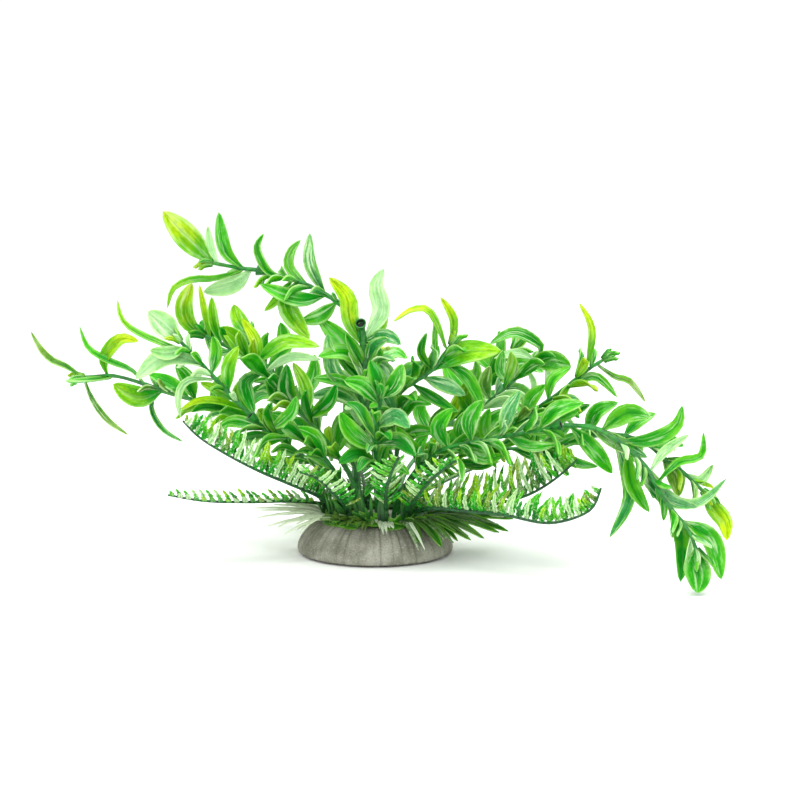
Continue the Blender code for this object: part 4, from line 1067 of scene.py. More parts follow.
plan("left_centre_spray", [
    (349, 474, 7), (324, 438, 7), (300, 412, 6), (275, 384, 5), (250, 361, 4), (228, 347, 3), (205, 336, 3),
], [
    ("yellow", 3, 7.4, 75, (205, 336), (188, 322), (184, 304), (192, 283)),
    ("yellow", -4, 3.6, 50, (210, 339), (205, 312), (200, 285)),
    ("lime", 4, 4.6, 55, (224, 345), (214, 322), (212, 297)),
    ("green", -5, 5.6, 60, (234, 350), (216, 350), (206, 322)),
    ("lime", 4, 7.2, 75, (250, 361), (235, 338), (220, 327)),
    ("yellow", -4, 5.6, 65, (258, 368), (256, 342), (242, 318)),
    ("lime", 4, 6.6, 75, (253, 362), (284, 342), (320, 346)),
    ("pale", -3, 4.4, 60, (262, 371), (290, 357), (321, 359)),
    ("deep", 5, 6.4, 75, (264, 373), (245, 383), (254, 413)),
    ("deep", -4, 5.6, 65, (292, 403), (276, 398), (268, 372)),
    ("deep", 4, 7.6, 80, (300, 413), (287, 392), (287, 364)),
    ("lime", -3, 5.8, 70, (304, 417), (307, 390), (293, 362)),
    ("deep", 4, 7.0, 65, (306, 419), (328, 402), (336, 384)),
    ("deep", -4, 6.0, 60, (332, 449), (316, 440), (304, 424)),
], hole=(-4.0, 7.0), tuft=8.0)
plan("upper_centre_spray", [
    (392, 482, 5), (398, 440, 6), (399, 396, 8), (412, 384, 9), (430, 372, 10), (441, 360, 11),
    (451, 345, 12),
], [
    ("lime", 5, 9.6, 80, (434, 368), (461, 353), (501, 350)),
    ("yellow", 1, 4.2, 50, (451, 345), (454, 320), (441, 297)),
    ("green", -5, 3.4, 45, (436, 365), (435, 338), (437, 317)),
    ("yellow", -3, 3.8, 50, (448, 350), (431, 312), (412, 309), (393, 321)),
    ("blue", 4, 6.4, 70, (404, 391), (406, 374), (424, 362)),
    ("blue", 4, 6.6, 70, (424, 376), (445, 385), (466, 395)),
    ("deep", -3, 5.4, 60, (414, 383), (434, 398), (459, 412)),
    ("green", 3, 5.8, 65, (441, 361), (468, 378), (484, 412)),
    ("green", 4, 5.6, 60, (398, 424), (412, 402), (432, 404)),
    ("green", 4, 6.2, 65, (397, 446), (412, 432), (436, 431)),
    ("blue", 6, 8.8, 80, (399, 436), (388, 404), (368, 370)),
    ("green", 8, 7.0, 75, (398, 444), (385, 428), (368, 416)),
    ("deep", 3, 4.0, 55, (432, 371), (421, 352), (427, 333)),
], hole=(1.5, 4.0), tuft=8.0)
print("sprays planned on the left:", len(PLANS))

# %% [markdown]
# ## The sprays to the right and the front
#
# The right side mirrors the left in kind, not in shape: one spray droops towards the viewer and
# almost touches the ground, another fans out behind it, and a short one fills the front.

# %% Routes of the right sprays
plan("right_centre_spray", [
    (398, 492, -6), (430, 462, -9), (455, 435, -11), (480, 410, -14), (520, 375, -18), (536, 360, -20),
], [
    ("green", 2, 5.0, 65, (536, 360), (541, 346), (515, 332), (489, 344)),
    ("green", 4, 9.0, 80, (530, 366), (550, 361), (571, 366)),
    ("pale", -3, 4.6, 60, (534, 362), (518, 353), (494, 358)),
    ("pale", 4, 3.2, 50, (528, 368), (534, 384), (531, 400)),
    ("pale", -4, 3.2, 50, (535, 361), (548, 368), (546, 392)),
    ("blue", 4, 7.0, 70, (505, 388), (520, 391), (536, 409)),
    ("green", -4, 6.0, 60, (472, 418), (510, 426), (554, 441)),
    ("olive", 4, 5.8, 70, (490, 401), (485, 384), (490, 366)),
    ("lime", 4, 6.8, 80, (472, 418), (465, 398), (474, 376)),
    ("green", -4, 5.4, 60, (514, 380), (501, 372), (503, 350)),
    ("deep", 3, 6.0, 60, (458, 432), (470, 448), (495, 454)),
    ("green", 4, 6.2, 65, (446, 445), (436, 424), (450, 405)),
    ("green", -4, 6.0, 60, (420, 470), (418, 448), (428, 432)),
], hole=(3.5, -5.0), tuft=7.0)
plan("right_spray", [
    (414, 494, -4), (450, 464, -2), (485, 441, 0), (520, 420, 2), (560, 392, 4), (583, 373, 5),
    (603, 360, 5),
], [
    ("yellow", 2, 3.8, 50, (586, 370), (592, 330), (580, 303)),
    ("green", 3, 4.6, 55, (562, 390), (594, 376), (618, 397)),
    ("olive", -3, 3.2, 45, (596, 365), (614, 376), (630, 381), (646, 402)),
    ("yellow", 3, 3.4, 50, (570, 384), (562, 398), (572, 407)),
    ("green", -4, 5.2, 60, (545, 402), (552, 380), (571, 366)),
    ("deep", 3, 5.4, 60, (542, 405), (565, 413), (590, 404)),
    ("green", 3, 6.4, 70, (520, 420), (530, 400), (545, 384)),
    ("blue", 6, 8.0, 75, (500, 432), (530, 418), (557, 437)),
    ("green", 3, 6.2, 70, (478, 445), (488, 424), (506, 408)),
    ("deep", -4, 5.6, 55, (456, 460), (480, 464), (500, 458)),
    ("green", -4, 6.0, 60, (450, 464), (452, 440), (466, 424)),
], hole=(9.5, -5.5), tuft=7.0)
plan("right_outer_spray", [(420, 487, 5), (448, 455, 11), (500, 449, 16), (553, 447, 21), (592, 434, 25)], [
    ("green", 3, 6.6, 70, (586, 437), (596, 412), (618, 402)),
    ("green", 3, 6.2, 70, (502, 449), (484, 430), (490, 408)),
    ("deep", 2, 5.2, 55, (553, 447), (574, 462), (598, 466)),
    ("green", -3, 6.0, 65, (470, 452), (460, 430), (468, 410)),
    ("green", -3, 6.2, 65, (540, 448), (536, 424), (556, 410)),
], hole=(11.5, 1.0))
plan("right_outer_tip", [(597, 432, 26), (640, 440, 30), (664, 458, 33), (684, 473, 35), (702, 490, 37)], [
    ("olive", 3, 7.2, 75, (663, 457), (675, 474), (679, 497)),
    ("pale", -3, 4.2, 55, (684, 473), (700, 480), (713, 464)),
    ("yellow", 1, 7.0, 75, (702, 490), (714, 508), (725, 522), (727, 541)),
    ("green", -4, 5.4, 60, (626, 437), (640, 420), (656, 413)),
    ("green", 3, 5.0, 55, (648, 446), (668, 440), (684, 446)),
    ("green", -3, 5.2, 55, (612, 434), (622, 448), (640, 462)),
], tuft=7.0)
plan("drooping_spray", [
    (404, 488, 11), (425, 460, 17), (448, 448, 22), (500, 437, 29), (540, 430, 34), (556, 426, 36),
], [
    ("green", 3, 7.0, 70, (448, 448), (438, 428), (452, 408)),
    ("green", 3, 7.0, 70, (472, 443), (470, 420), (482, 400)),
    ("blue", 3, 6.6, 70, (504, 436), (508, 412), (520, 390)),
    ("green", 4, 6.2, 65, (428, 458), (408, 444), (396, 426)),
    ("green", 3, 7.0, 70, (536, 431), (556, 410), (584, 402)),
    ("green", 4, 5.6, 60, (510, 435), (530, 446), (556, 444)),
    ("green", 4, 5.6, 60, (462, 445), (482, 458), (504, 455)),
], hole=(7.5, 7.5))
plan("drooping_tip", [
    (563, 425, 37), (600, 430, 42), (640, 460, 50), (665, 500, 58), (688, 530, 65), (696, 549, 69),
], [
    ("green", 3, 7.6, 80, (604, 431), (627, 413), (651, 417)),
    ("green", -3, 6.2, 65, (618, 441), (650, 440), (676, 426), (682, 405)),
    ("pale", -4, 4.2, 55, (650, 474), (664, 452), (689, 434)),
    ("green", 3, 3.8, 50, (656, 484), (678, 462), (701, 456), (703, 432)),
    ("blue", 5, 6.6, 65, (590, 428), (618, 443), (648, 457)),
    ("blue", 3, 5.4, 65, (612, 436), (624, 466), (629, 500), (609, 538)),
    ("green", 5, 6.4, 70, (626, 447), (632, 484), (650, 512)),
    ("blue", -3, 4.8, 60, (646, 467), (672, 499), (700, 502), (726, 478)),
    ("green", -4, 8.0, 75, (680, 519), (711, 539), (722, 580)),
    ("deep", 4, 7.0, 70, (668, 504), (683, 542), (681, 582)),
    ("green", 10, 10.4, 80, (695, 546), (696, 562), (698, 577), (698, 593)),
    ("green", -4, 7.0, 70, (572, 426), (594, 450), (613, 474)),
    ("blue", 4, 6.8, 70, (634, 454), (664, 496), (699, 507)),
], tuft=8.0)
plan("front_spray", [(378, 482, 20), (376, 452, 26), (377, 425, 30), (381, 398, 33)], [
    ("green", 4, 8.0, 70, (376, 450), (352, 432), (340, 412)),
    ("blue", 4, 7.2, 65, (377, 430), (395, 416), (410, 428)),
    ("green", 3, 7.4, 70, (380, 402), (364, 386), (344, 380)),
    ("green", 4, 7.0, 70, (381, 399), (395, 384), (402, 364)),
    ("deep", 4, 7.0, 60, (376, 444), (398, 440), (416, 456)),
    ("deep", -3, 6.6, 70, (381, 398), (378, 380), (370, 360)),
    ("deep", 5, 7.0, 60, (377, 466), (358, 454), (338, 463)),
    ("green", 4, 6.0, 55, (378, 470), (394, 466), (410, 474)),
], hole=(1.0, 11.5), tuft=9.0)
print("sprays planned with the right side:", len(PLANS))

# %% [markdown]
# ## The sprays at the back
#
# The view hides the back, but a plant like this is filled in all round. Three plain sprays stand
# there, low enough to stay behind the ones in front.

# %% Routes of the back sprays
plan("back_left_spray", [
    (348, 470, -22), (318, 430, -36), (288, 395, -48), (264, 362, -57), (252, 338, -62),
], [
    ("lime", -5, 8.0, 60, (252, 338), (240, 322), (234, 304)),
    ("green", 7, 7.6, 55, (264, 362), (240, 352), (222, 362)),
    ("green", -7, 8.0, 60, (268, 367), (284, 346), (280, 322)),
    ("deep", 8, 7.4, 55, (288, 395), (260, 392), (246, 408)),
    ("green", -8, 8.0, 60, (292, 399), (312, 380), (314, 354)),
    ("deep", 8, 7.4, 55, (318, 430), (292, 424), (280, 440)),
], hole=(-6.5, -10.0), tuft=9.0)
plan("back_spray", [(374, 456, -30), (372, 408, -46), (368, 368, -57), (373, 340, -62)], [
    ("yellow", -5, 8.0, 60, (373, 340), (380, 322), (377, 300)),
    ("green", 6, 7.6, 60, (369, 362), (348, 350), (338, 330)),
    ("green", -8, 7.6, 55, (369, 366), (394, 352), (408, 358)),
    ("deep", 8, 7.0, 55, (371, 402), (354, 396), (344, 416)),
    ("lime", 8, 7.6, 60, (372, 406), (396, 386), (402, 366)),
    ("green", 7, 7.4, 60, (374, 452), (350, 440), (340, 424)),
    ("deep", -7, 7.4, 60, (374, 448), (398, 440), (412, 424)),
], hole=(0.5, -12.5), tuft=9.0)
plan("back_right_spray", [
    (408, 468, -26), (440, 432, -40), (475, 396, -52), (500, 368, -60), (512, 350, -64),
], [
    ("yellow", -5, 7.0, 60, (512, 350), (520, 338), (516, 326)),
    ("green", 7, 7.6, 55, (500, 368), (526, 362), (544, 372)),
    ("lime", -7, 7.6, 60, (496, 372), (478, 352), (470, 340)),
    ("green", 8, 7.4, 55, (475, 396), (504, 398), (522, 412)),
    ("green", -8, 7.6, 60, (470, 401), (452, 378), (444, 362)),
    ("deep", 8, 7.4, 55, (440, 432), (470, 436), (490, 446)),
    ("green", -8, 7.6, 60, (434, 439), (420, 412), (424, 392)),
], hole=(8.0, -12.0), tuft=9.0)
print("sprays planned in all:", len(PLANS), "with", sum(len(row[1]) for row in PLANS.values()), "leaves")

# %% Build the trunk
arm_route = PLANS["top_left_spray"][0]
arm_start, arm_end = place(ARM_START), place(arm_route[0])
arm_way = (place(arm_route[1]) - arm_end).normalized()
arm_line = [arm_start, arm_start.lerp(arm_end, 0.5), arm_end - arm_way * ARM_INSIDE]
trunk_line = standing_line(TRUNK_HOLE, TRUNK_ROUTE)
trunk_extra = [
    socket(trunk_line[-1] + HEAD_FACING * HEAD_REACH, HEAD_FACING, HEAD_BORE),
    bar("trunk_arm", arm_line, [STEM_RADIUS] * 3, stalk),
    end_socket(arm_end, arm_way),
]
spray(
    "trunk", trunk_line, TRUNK_LEAVES, 11, STANDING_SIZES, TRUNK_START,
    radii=(TRUNK_RADIUS, TRUNK_TIP_RADIUS), extra=trunk_extra,
)

# %% Build the standing sprays, then the plugged ones
standing = {node: row for node, row in PLANS.items() if row[2]}
plugged = {node: row for node, row in PLANS.items() if not row[2]}
for seed, (node, (route, leaves, hole, tuft)) in enumerate(standing.items(), 20):
    spray(node, standing_line(hole, route), leaves, seed, STANDING_SIZES, STEM_START, not tuft, tuft)
for seed, (node, (route, leaves, hole, tuft)) in enumerate(plugged.items(), 40):
    spray(node, plugged_line(route), leaves, seed, PLUGGED_SIZES, PLUGGED_START, not tuft, tuft)

# %% [markdown]
# ## Fern fronds
#
# A frond is a thin stalk with two rows of narrow toothed leaflets, close as a comb. The rows open
# like a V, wide on the low fronds and almost shut on the rising ones, where the leaflets stand up.
# The leaflet form is bent once per place, leaning a little towards the frond's end, and each leaflet
# takes a tint of its own, because the real ones are dyed unevenly; each tint brings its painted sheen.

# %% Routes of the fronds
# Each frond: its hole in the foot, its longest leaflet in mm, how wide its rows open in degrees, and
# its route.
FRONDS = {
    "fern_left_rising": (
        (-15.5, 2.5), 16.0, 32,
        [(320, 497, 12), (290, 484, 20), (259, 471, 28), (226, 454, 35), (199, 437, 40), (183, 421, 43)],
    ),
    "fern_left_low": (
        (-16.0, -2.5), 11.0, 66,
        [(318, 503, 1), (290, 501, 5), (250, 502, 9), (205, 501, 13), (168, 495, 16)],
    ),
    "fern_right_rising": (
        (15.5, 5.5), 20.0, 30,
        [(438, 507, 14), (470, 508, 20), (500, 503, 25), (530, 494, 31), (555, 479, 36), (577, 460, 41)],
    ),
    "fern_right_low": (
        (13.5, 9.5), 14.5, 34,
        [(430, 508, 24), (466, 511, 33), (505, 515, 42), (550, 523, 50), (589, 511, 57), (601, 488, 57)],
    ),
    "fern_front": (
        (5.0, 15.8), 10.0, 58, [(386, 506, 24), (386, 492, 32), (391, 474, 39), (399, 457, 44)],
    ),
    "fern_front_right": (
        (10.0, 13.2), 9.5, 52, [(412, 504, 25), (424, 488, 35), (440, 472, 43), (456, 461, 49)],
    ),
    "fern_front_left": (
        (-10.0, 13.0), 10.0, 58, [(344, 505, 24), (331, 491, 33), (316, 478, 41), (300, 472, 48)],
    ),
    "fern_back_left": (
        (-12.5, -10.5), 12.0, 60, [(330, 494, -30), (306, 480, -46), (284, 470, -60), (268, 466, -70)],
    ),
    "fern_back": (
        (-3.0, -16.2), 12.0, 60, [(365, 488, -34), (362, 474, -50), (360, 466, -64), (358, 464, -74)],
    ),
    "fern_back_right": (
        (13.0, -9.5), 12.0, 60, [(424, 492, -28), (452, 478, -44), (476, 468, -58), (496, 464, -68)],
    ),
}
FERN_TINTS = ("deep", "green", "green", "lime", "pale", "pale", "olive")
FROND_RADIUS = 0.9 * MM
FROND_HOLE_RADIUS = 0.75 * MM
BARE_LENGTH = 10.5 * MM
LEAFLET_PITCH = 3.2 * MM
LEAFLET_WIDTH = 2.3 * MM
LEAST_LEAFLET = 2.5 * MM
LEAFLET_LEAN = 0.28
LEAFLET_BOW = 0.06
FIRST_LEAFLET = 0.7
LEAFLET_GROWTH = 0.45
LOOK_AHEAD = 0.02
TURNS_UP_BY = 3.5
print("fronds:", len(FRONDS))


# %% Build the fronds
def leaflet(here, way, opened, reach, draw):
    """One leaflet: from here it opens this way, bowed back a little, in a tint of its own."""
    tip = here + opened * max(reach * draw.uniform(0.86, 1.04), LEAST_LEAFLET)
    middle = here.lerp(tip, 0.5) - way * LEAFLET_BOW * reach
    path = [here, here.lerp(middle, 0.5), middle, middle.lerp(tip, 0.5) + way * 0.01 * reach, tip]
    tint = tint_of(draw.choice(FERN_TINTS), draw)
    return bent_blade(leaflet_form, path, always(way), LEAFLET_WIDTH, tint)


def frond(node, hole, longest, opening, route, seed):
    draw = random.Random(seed)
    whole = footed(hole, route)
    smooth = [place(point) for point in smooth_line(whole[1:], 10)]
    length = length_of(smooth)
    line = [place(whole[0])] + even_line(smooth)
    radii = [FROND_RADIUS * (1.0 - 0.5 * i / len(line)) for i in range(len(line))]
    pieces = [bar(node + "_bar", line, radii, fern_stalk)]
    bare = BARE_LENGTH / length
    pairs = round(length * (1.0 - bare) / LEAFLET_PITCH)
    inward = Vector((-line[3].x, -line[3].y, 0.02)).normalized()
    for k in range(pairs):
        share = (k + 0.5) / pairs
        at = bare + (1.0 - bare) * share
        marks = stations(smooth, [at - LOOK_AHEAD, at, min(at + LOOK_AHEAD, 1.0)])
        behind, here, ahead = (Vector(row) for row in marks)
        way = (ahead - behind).normalized()
        up = inward.lerp(Vector((0.0, 0.0, 1.0)), min(at * TURNS_UP_BY, 1.0))
        up = (up - way * up.dot(way)).normalized()
        reach = longest * MM * (FIRST_LEAFLET + LEAFLET_GROWTH * share) * (1.0 - share**3) ** 0.5
        for sign in (1.0, -1.0):
            out = way.cross(up).normalized() * sign
            turn = math.radians(opening + draw.uniform(-9.0, 9.0))
            lean = LEAFLET_LEAN + draw.uniform(-0.1, 0.1)
            opened = up * math.cos(turn) + out * math.sin(turn) + way * lean
            pieces.append(leaflet(here, way, opened, reach, draw))
    join_as_dressed(node, pieces)


for seed, (node, row) in enumerate(FRONDS.items(), 60):
    frond(node, *row, seed)

# %% [markdown]
# ## The ground rosette
#
# Round the stems lies a rosette. Long needles fan out over the foot, some frosted almost white, some
# olive, and their tips hang over its edge. Flat straps lie along the collars that carry them, dark
# needles stand up between the stems, and broad leaves droop over the foot's right side. On the real
# plant all are moulded on a thin collar. The collar is an arc of bar, each solid needle becomes three
# slender ones, and every other leaf is a bent copy of the leaf or the needle.

# %% Arcs of the rosette
# Each arc: its span in degrees, the reach and the lift of its needles in mm from first to last, how
# many needles the solid has there, how frosted they are, and their colours at root and tip.
NEEDLES = {
    "needles_back": ((22, 148), (20, 22), (0, -1), 11, 0.45, ink(60, 104, 32), ink(130, 160, 70)),
    "needles_left": ((156, 218), (31, 22), (3, -3), 9, 0.80, ink(92, 120, 58), ink(150, 172, 116)),
    "needles_front": ((226, 288), (12, 13), (3, -2), 8, 0.12, ink(24, 66, 4), ink(74, 112, 24)),
    "needles_right": ((296, 374), (19, 35), (-7, 1), 10, 0.08, ink(16, 56, 4), ink(60, 108, 20)),
}
# Broad leaves: degrees round the foot, reach past the collar and rise of the tip, in mm.
BROAD_LEAVES = {
    "needles_right": (
        (302, 12, -6), (314, 17, -8), (326, 23, -6), (334, 28, -5), (342, 31, -4), (350, 34, -4),
        (357, 35, -2), (4, 31, -1), (12, 26, 2), (346, 22, -7), (332, 15, -8), (353, 27, -6),
    ),
}
STRAP_TINT = (ink(12, 70, 2), ink(50, 108, 8), 0.0)
UPRIGHT_TINT = (ink(2, 58, 18), ink(52, 122, 34), 0.12)
FROSTED_TINT = (ink(120, 160, 96), ink(206, 224, 190), 0.7)
FROSTED_ABOVE = -1.5 * MM
WHITE_TIPS = (270.0, 300.0)
WHITER = 0.5
COLLAR_RADIUS = 21.0 * MM
COLLAR_HEIGHT = 15.3 * MM
COLLAR_THICKNESS = 0.95 * MM
INNER_COLLAR_RADIUS = 17.6 * MM
INNER_COLLAR_LOWER = 0.1 * MM
STRAP_START_RADIUS = 19.4 * MM
STRAP_DRIFT = 3.2 * MM
STRAP_ARCH = 1.1 * MM
STRAP_STEPS = 6
DEGREES_FOR_A_STRAP = 9.0
DEGREES_FOR_AN_UPRIGHT = 4.5
SECOND_NEEDLE_SHORTER = 0.22
SECOND_NEEDLE_HIGHER = 2.5
FAN = 0.34
print("rosette arcs:", ", ".join(NEEDLES))


# %% Shape the rosette's leaves
def on_ring(turn, radius, height):
    return Vector((math.cos(turn) * radius, math.sin(turn) * radius, height))


def strap(turn, span, high, draw):
    """A flat leaf that lies along the collar and faces outwards."""
    path = []
    for share in (k / STRAP_STEPS for k in range(STRAP_STEPS + 1)):
        height = COLLAR_HEIGHT + (high + STRAP_ARCH * math.sin(math.pi * share))
        path.append(on_ring(turn + span * share, STRAP_START_RADIUS + STRAP_DRIFT * share, height))
    sign = 1.0 if span > 0 else -1.0

    def side_of(middles, alongs):
        outward = unit(middles * np.array((1.0, 1.0, 0.0)))
        return (outward * 0.45 - np.array((0.0, 0.0, 0.9))) * sign

    return bent_blade(leaf_form, path, side_of, draw.uniform(4.0, 5.6) * MM, STRAP_TINT)


def upright(turn, draw):
    """A dark needle that stands up between the stems."""
    radius = draw.uniform(18.2, 20.2) * MM
    lean = draw.uniform(-1.5, 7.0) * MM
    tall = draw.uniform(6.0, 15.0) * MM
    root = on_ring(turn, radius, COLLAR_HEIGHT)
    tip = on_ring(turn + draw.uniform(-0.2, 0.2), radius + lean, COLLAR_HEIGHT + tall)
    middle = root.lerp(tip, 0.5) + Vector((0.0, 0.0, 0.12 * tall))
    across = always((math.sin(turn), -math.cos(turn), 0.0))
    width = draw.uniform(1.4, 2.4) * MM
    return bent_blade(needle_form, smooth_line([root, middle, tip], 6), across, width, UPRIGHT_TINT)


def broad_leaf(turn, full, lift, draw):
    """A broad leaf that reaches out from the collar and droops over the foot's edge."""
    root = on_ring(turn, INNER_COLLAR_RADIUS, COLLAR_HEIGHT)
    tip = on_ring(turn + draw.uniform(-0.1, 0.1), COLLAR_RADIUS + full, COLLAR_HEIGHT + lift)
    rise = max(lift, 0.0) * 0.4 + 1.2 * MM
    middle = on_ring(turn, COLLAR_RADIUS + full * 0.4, COLLAR_HEIGHT + rise)
    across = always((math.sin(turn), -math.cos(turn), draw.uniform(-0.9, -0.3)))
    width = draw.uniform(3.4, 5.0) * MM
    tint = FROSTED_TINT if lift > FROSTED_ABOVE else STRAP_TINT
    return bent_blade(leaf_form, smooth_line([root, middle, tip], 6), across, width, tint)


def needle(turn, long, high, tint_parts, draw):
    """A slender needle that arches from the inner collar to its tip beyond the outer one."""
    root_ink, tip_ink, frost = tint_parts
    root = on_ring(turn, INNER_COLLAR_RADIUS, COLLAR_HEIGHT)
    tip = on_ring(turn, COLLAR_RADIUS + long, COLLAR_HEIGHT + high)
    rise = max(high, 0.0) * 0.35 + draw.uniform(1.0, 2.4) * MM
    middle = on_ring(turn, COLLAR_RADIUS + long * 0.42, COLLAR_HEIGHT + rise)
    across = always((math.sin(turn), -math.cos(turn), 0.0))
    whiter = WHITER if WHITE_TIPS[0] < math.degrees(turn) < WHITE_TIPS[1] else 0.0
    tint = (root_ink, tip_ink, frost + whiter + draw.uniform(-0.25, 0.2))
    width = draw.uniform(1.5, 2.6) * MM
    return bent_blade(needle_form, smooth_line([root, middle, tip], 6), across, width, tint)


def collars(node, start, span, steps):
    """The two arcs of bar that the leaves grow from."""
    made = []
    for radius, lower in ((COLLAR_RADIUS, 0.0), (INNER_COLLAR_RADIUS, INNER_COLLAR_LOWER)):
        line = [on_ring(start + span * i / steps, radius, COLLAR_HEIGHT - lower) for i in range(steps + 1)]
        made.append(bar(node + "_collar", line, [COLLAR_THICKNESS] * len(line), frosted))
        tint_mesh(made[-1].data, STRAP_TINT)
    return made


print("a strap for every", DEGREES_FOR_A_STRAP, "degrees, an upright for every", DEGREES_FOR_AN_UPRIGHT)


# %% Build the rosette
def rosette(node, arc, reach, rise, count, frost, root_ink, tip_ink, seed):
    draw = random.Random(seed)
    degrees = arc[1] - arc[0]
    start, span = math.radians(arc[0]), math.radians(degrees)
    pieces = collars(node, start, span, 4 * count)
    for i in range(count):
        share = i / (count - 1)
        full = (reach[0] + (reach[1] - reach[0]) * share) * (1.0 - SECOND_NEEDLE_SHORTER * (i % 2))
        lift = rise[0] + (rise[1] - rise[0]) * share + SECOND_NEEDLE_HIGHER * (i % 2)
        for fan in (-FAN, 0.0, FAN):
            turn = start + span * (i + 0.5 + fan + draw.uniform(-0.08, 0.08)) / count
            long = full * (draw.uniform(0.62, 0.92) if fan else 1.0) * MM
            high = (lift + (draw.uniform(-0.8, 1.6) if fan else 0.0)) * MM
            pieces.append(needle(turn, long, high, (root_ink, tip_ink, frost), draw))
    straps = max(round(degrees / DEGREES_FOR_A_STRAP), 2)
    for i in range(straps):
        way = 1.0 if draw.random() < 0.6 else -1.0
        width = math.radians(draw.uniform(36.0, 50.0)) * way
        middle = start + span * (i + 0.5) / straps
        pieces.append(strap(middle - width / 2, width, draw.choice((-1.2, -0.2, 0.8, 1.6)) * MM, draw))
    for i in range(round(degrees / DEGREES_FOR_AN_UPRIGHT)):
        pieces.append(upright(start + span * draw.random(), draw))
    for turn, full, lift in BROAD_LEAVES.get(node, ()):
        pieces.append(broad_leaf(math.radians(turn), full * MM, lift * MM, draw))
    join_as_dressed(node, pieces)


for seed, (node, row) in enumerate(NEEDLES.items(), 80):
    rosette(node, *row, seed)

# %% [markdown]
# ## The cast foot
#
# The foot is a squat cast disc with a domed shoulder, a flared skirt and fine upright grooves that a
# worn mould left uneven. A circle is extruded up the profile ring by ring. Columns of its side are then
# pressed in by different amounts, which keeps the grooves irregular, and the stems' holes are cut
# with one Boolean, so that every stem really stands in its own hole.

# %% Extrude the foot
# The profile: the radius and the height of each ring, in mm, from the underside up and inwards.
FOOT_PROFILE = (
    (28.8, 0.0), (30.4, 0.5), (31.1, 1.1), (31.4, 2.2), (31.1, 4.0), (30.1, 6.2), (28.4, 8.5), (26.3, 10.7),
    (24.0, 12.4), (21.6, 13.5), (19.0, 14.0), (14.0, 14.0), (8.0, 14.0),
)
FOOT_COLUMNS = 220
bpy.ops.object.select_all(action="DESELECT")
bpy.ops.mesh.primitive_circle_add(
    vertices=FOOT_COLUMNS, radius=FOOT_PROFILE[0][0] * MM, fill_type="NGON", location=(0.0, 0.0, 0.0)
)
foot = bpy.context.active_object
foot.name = "cast_foot"
bpy.ops.object.mode_set(mode="EDIT")
bpy.ops.mesh.select_mode(type="FACE")
bpy.ops.mesh.select_all(action="SELECT")
for (before, low), (after, high) in zip(FOOT_PROFILE, FOOT_PROFILE[1:]):
    bpy.ops.mesh.extrude_region_move(TRANSFORM_OT_translate={"value": (0.0, 0.0, (high - low) * MM)})
    grown = after / before
    bpy.ops.transform.resize(value=(grown, grown, 1.0), center_override=(0.0, 0.0, high * MM))
bpy.ops.object.mode_set(mode="OBJECT")
print("foot:", len(foot.data.polygons), "faces")

# %% Press in the grooves
GROOVE_DEPTHS = (0.0, 0.12, 0.28, 0.45, 0.65)
GROOVED_RADIUS = 30.0
GROOVED_FROM = 22.0 * MM
GROOVED_ABOVE = 0.3 * MM
GROOVES_FADE_BELOW = 2.0 * MM
CONTACT_SHADE_TO = 1.0 * MM
DOUBLE_GROOVES = 0.4
foot_draw = random.Random(5)
depth_of = [0] * FOOT_COLUMNS
column = 0
while column < FOOT_COLUMNS:
    depth_of[column] = foot_draw.choice((1, 2, 3, 4, 4))
    if foot_draw.random() < DOUBLE_GROOVES and column + 1 < FOOT_COLUMNS:
        depth_of[column + 1] = foot_draw.choice((1, 2, 3))
        column += 1
    column += foot_draw.choice((2, 3, 4, 6))


def column_depth(co):
    """Which of the groove depths the column at this place has."""
    return depth_of[round(math.atan2(co.y, co.x) / (2 * math.pi) * FOOT_COLUMNS) % FOOT_COLUMNS]


def in_groove(co, depth):
    return math.hypot(co.x, co.y) > GROOVED_FROM and co.z > GROOVED_ABOVE and column_depth(co) == depth


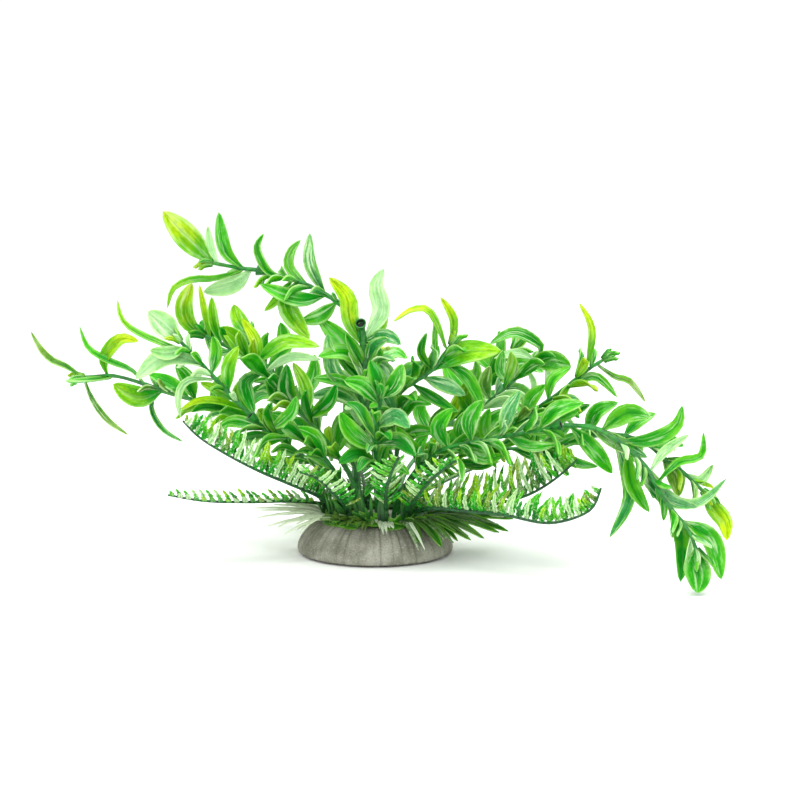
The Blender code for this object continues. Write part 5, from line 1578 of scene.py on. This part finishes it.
bpy.ops.object.mode_set(mode="EDIT")
bpy.ops.mesh.select_mode(type="VERT")
for level, depth in enumerate(GROOVE_DEPTHS[1:], 1):
    pick_vertices(foot, lambda co, level=level: in_groove(co, level))
    shrink = 1.0 - depth / GROOVED_RADIUS
    bpy.ops.transform.resize(value=(shrink, shrink, 1.0), center_override=(0.0, 0.0, 0.0))
bpy.ops.object.mode_set(mode="OBJECT")
painted = foot.data.attributes.new("groove", "FLOAT", "POINT")
# The groove attribute is painted shade: darker in deeper grooves, fading towards the bottom, and full in the
# lowest band as a painted contact shadow.
for vertex in foot.data.vertices:
    side = math.hypot(vertex.co.x, vertex.co.y) > 0.9 * GROOVED_FROM
    groove_fade = min(max(vertex.co.z - GROOVES_FADE_BELOW, 0.0) / (FOOT_HEIGHT - GROOVES_FADE_BELOW), 1.0)
    painted.data[vertex.index].value = column_depth(vertex.co) / 4.0 * groove_fade if side else 0.0
    if vertex.co.z < CONTACT_SHADE_TO:
        painted.data[vertex.index].value = 1.0
print("grooved columns:", sum(1 for depth in depth_of if depth))

# %% Cut the stems' holes
DRILL_SIDES = 14
DRILL_ABOVE = 2.0 * MM
stands = [(TRUNK_HOLE, TRUNK_RADIUS)] + [(row[2], STEM_RADIUS) for row in standing.values()]
stands += [(row[0], FROND_HOLE_RADIUS) for row in FRONDS.values()]
drills = []
for (x, near), radius in stands:
    bpy.ops.object.select_all(action="DESELECT")
    bpy.ops.mesh.primitive_cylinder_add(
        vertices=DRILL_SIDES, radius=radius + PLAY, depth=HOLE_DEPTH + DRILL_ABOVE,
        location=(x * MM, -near * MM, FOOT_HEIGHT + (DRILL_ABOVE - HOLE_DEPTH) / 2),
    )
    drills.append(bpy.context.active_object)
select_only(*drills)
bpy.ops.object.join()
drill = bpy.context.active_object
select_only(foot)
cut = foot.modifiers.new("holes", "BOOLEAN")
cut.operation = "DIFFERENCE"
cut.solver = "EXACT"
cut.object = drill
bpy.ops.object.modifier_apply(modifier="holes")
bpy.data.objects.remove(drill)
bpy.ops.object.shade_smooth_by_angle(angle=math.radians(38.0))
foot.data.materials.clear()
foot.data.materials.append(stone.material)
stand_for(foot, "base_disc")
print("holes in the foot:", len(stands))

# %% [markdown]
# ## Leave the frame clean
#
# The forms that were copied have done their work and would otherwise lie about as loose pieces.

# %% Remove the forms
for form in (leaf_form, leaflet_form, needle_form, socket_form):
    bpy.data.objects.remove(form)
